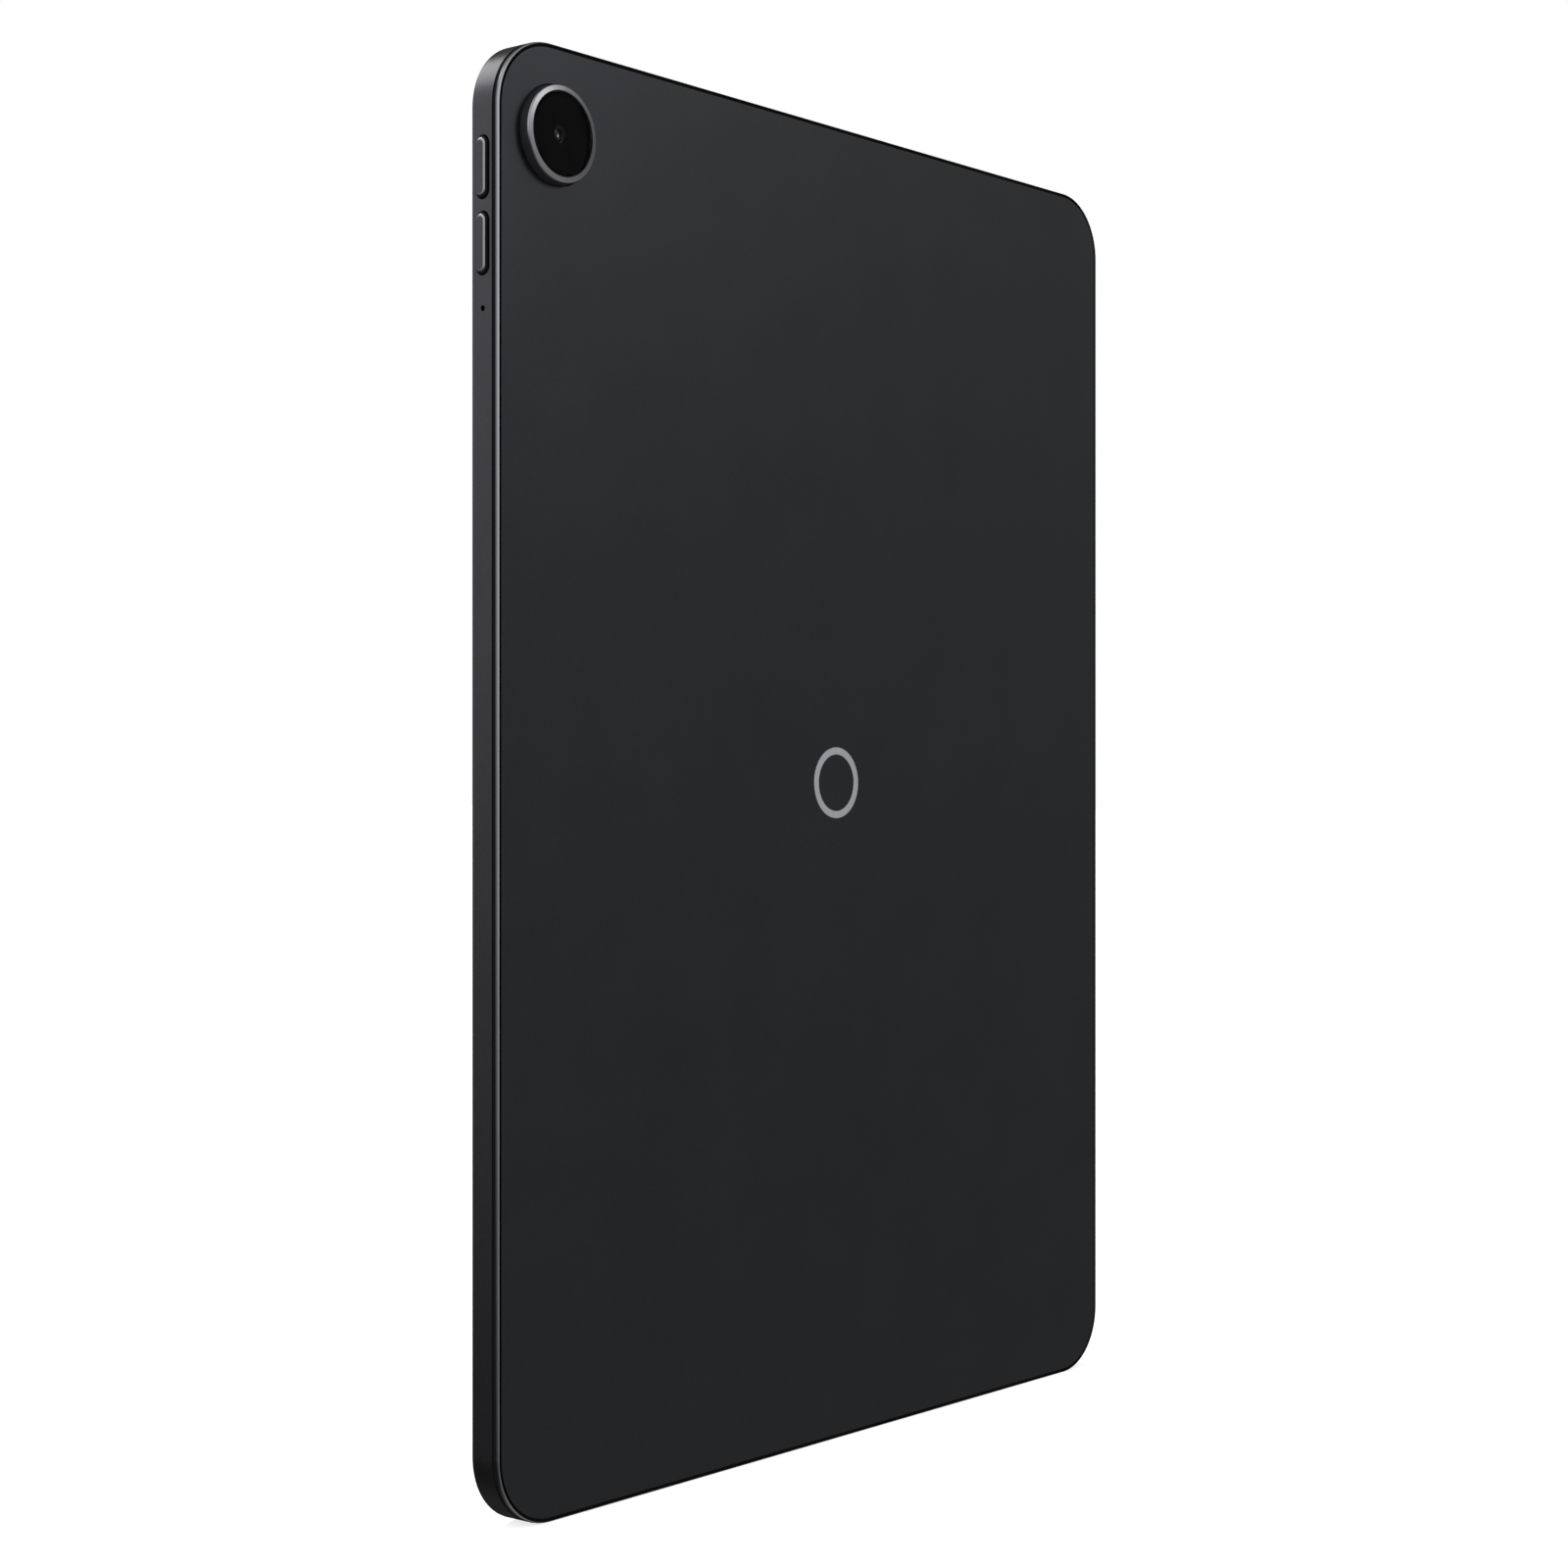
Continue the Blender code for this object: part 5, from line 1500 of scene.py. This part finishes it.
@dataclass
class Studio:
    """A pale flat floor, a plain white surround, soft light and the camera."""

    floor_z: float
    lens: float = 64.44
    eye: tuple[float, float, float] = (-0.44746, -0.35166, -0.00025)
    gaze: tuple[float, float, float] = (0.77454, 0.63253, 0.0)
    low_light: tuple[float, float] = (0.10, 0.56)  # left and right
    high_light: tuple[float, float] = (2.0, 0.89)
    behind_light: float = 0.10

    def build(self) -> None:
        """Make the room, the lights and the camera."""
        bpy.context.scene.view_settings.view_transform = "Standard"
        self.build_floor()
        self.build_world()
        self.build_lights()
        self.build_camera()

    def build_floor(self) -> None:
        """Make the floor: a wide flat sheet, whose glow leaves only faint shadows."""
        square = np.array([[-1.0, -1.0], [1.0, -1.0], [1.0, 1.0], [-1.0, 1.0]]) * 12.0
        points = np.column_stack([square, np.full(4, self.floor_z)])
        mesh = bpy.data.meshes.new("floor")
        mesh.from_pydata(points.tolist(), [], [[0, 1, 2, 3]])
        mesh.materials.append(Finishes.get(StudioSheet("studio_floor", (0.5, 0.5, 0.5), 0.8, glow=0.74)))
        floor = bpy.data.objects.new("floor", mesh)
        floor.visible_glossy = False
        floor.visible_transmission = False
        bpy.context.scene.collection.objects.link(floor)

    def build_world(self) -> None:
        """Make the surrounding light: bright and tall on the left, lower and dimmer on the right.

        The strength runs smoothly from a low value under the horizon to a high one above it, and both are
        mixed from the left's and the right's by how far the direction points left. Straight ahead of the
        camera the light falls to a part of that. The backdrop itself is plain white.
        """
        world = bpy.data.worlds.new("studio")
        world.use_nodes = True
        bpy.context.scene.world = world
        graph = Graph(world.node_tree)
        back = world.node_tree.nodes["Background"]
        place = graph.add("ShaderNodeTexCoord").outputs["Generated"]
        span = {"Value": graph.axes(place)["Z"], 1: -0.3, 2: 0.3}
        rise = graph.add("ShaderNodeMapRange", {"interpolation_type": "SMOOTHSTEP"}, span).outputs[0]
        facing = graph.vector("DOT_PRODUCT", place, (-0.95, 0.31, 0.0)).outputs["Value"]
        left = graph.spread(facing, -0.1, 0.8, 0.0, 1.0)
        low = graph.spread(left, 0.0, 1.0, *self.low_light[::-1])
        high = graph.spread(left, 0.0, 1.0, *self.high_light[::-1])
        light = graph.plus(low, graph.times(rise, graph.minus(high, low)))
        ahead = graph.vector("DOT_PRODUCT", place, self.gaze).outputs["Value"]
        around = graph.times(light, graph.spread(ahead, 0.05, 0.65, 1.0, self.behind_light))
        seen = graph.add("ShaderNodeLightPath").outputs["Is Camera Ray"]
        graph.put(back.inputs["Color"], (1.0, 1.0, 1.0, 1.0))
        graph.put(back.inputs["Strength"], graph.math("MAXIMUM", around, seen))

    def lamp(self, name: str, spot: Vector, aim: Vector, size: tuple[float, float], power: float) -> None:
        """Hang one soft rectangular lamp.

        Args:
            name: the lamp's name.
            spot: where it hangs.
            aim: the point that it faces.
            size: its width and height, in metres.
            power: its power, in watts.
        """
        data = bpy.data.lights.new(name, "AREA")
        data.shape, data.size, data.size_y, data.energy = "RECTANGLE", *size, power
        lamp = bpy.data.objects.new(name, data)
        lamp.location = spot
        lamp.rotation_mode = "QUATERNION"
        lamp.rotation_quaternion = (spot - aim).to_track_quat("Z", "Y")
        lamp.visible_camera = False
        bpy.context.scene.collection.objects.link(lamp)

    def build_lights(self) -> None:
        """Hang the key lamp high on the left and a fill lamp on the right."""
        aim = Vector((0.0, 0.0, 0.05))
        self.lamp("key_lamp", Vector((-0.33, 0.80, 0.92)), aim, (0.95, 0.34), 5.0)
        self.lamp("fill_lamp", Vector((0.66, -1.0, 0.64)), aim, (0.40, 0.40), 1.8)

    def build_camera(self) -> None:
        """Stand the camera level with the middle of the tablet, off to the left behind it."""
        data = bpy.data.cameras.new("camera")
        data.lens, data.sensor_width = self.lens, 36.0
        data.clip_start, data.clip_end = 0.02, 60.0
        camera = bpy.data.objects.new("camera", data)
        camera.location = self.eye
        camera.rotation_mode = "QUATERNION"
        camera.rotation_quaternion = Vector(self.gaze).to_track_quat("-Z", "Y")
        bpy.context.scene.collection.objects.link(camera)
        bpy.context.scene.camera = camera


def main() -> None:
    """Build the tablet and the studio."""
    logging.basicConfig(level=logging.INFO, format="%(message)s")
    low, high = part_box("side_frame")
    outline = Outline(high.x, high.z)
    Shell(outline).build()
    CameraBump().build()
    Keys(outline).build()
    DisplayFace(outline).build()
    Ports(outline).build()
    Inside().build()
    Studio(floor_z=low.z).build()


if __name__ == "__main__":
    main()
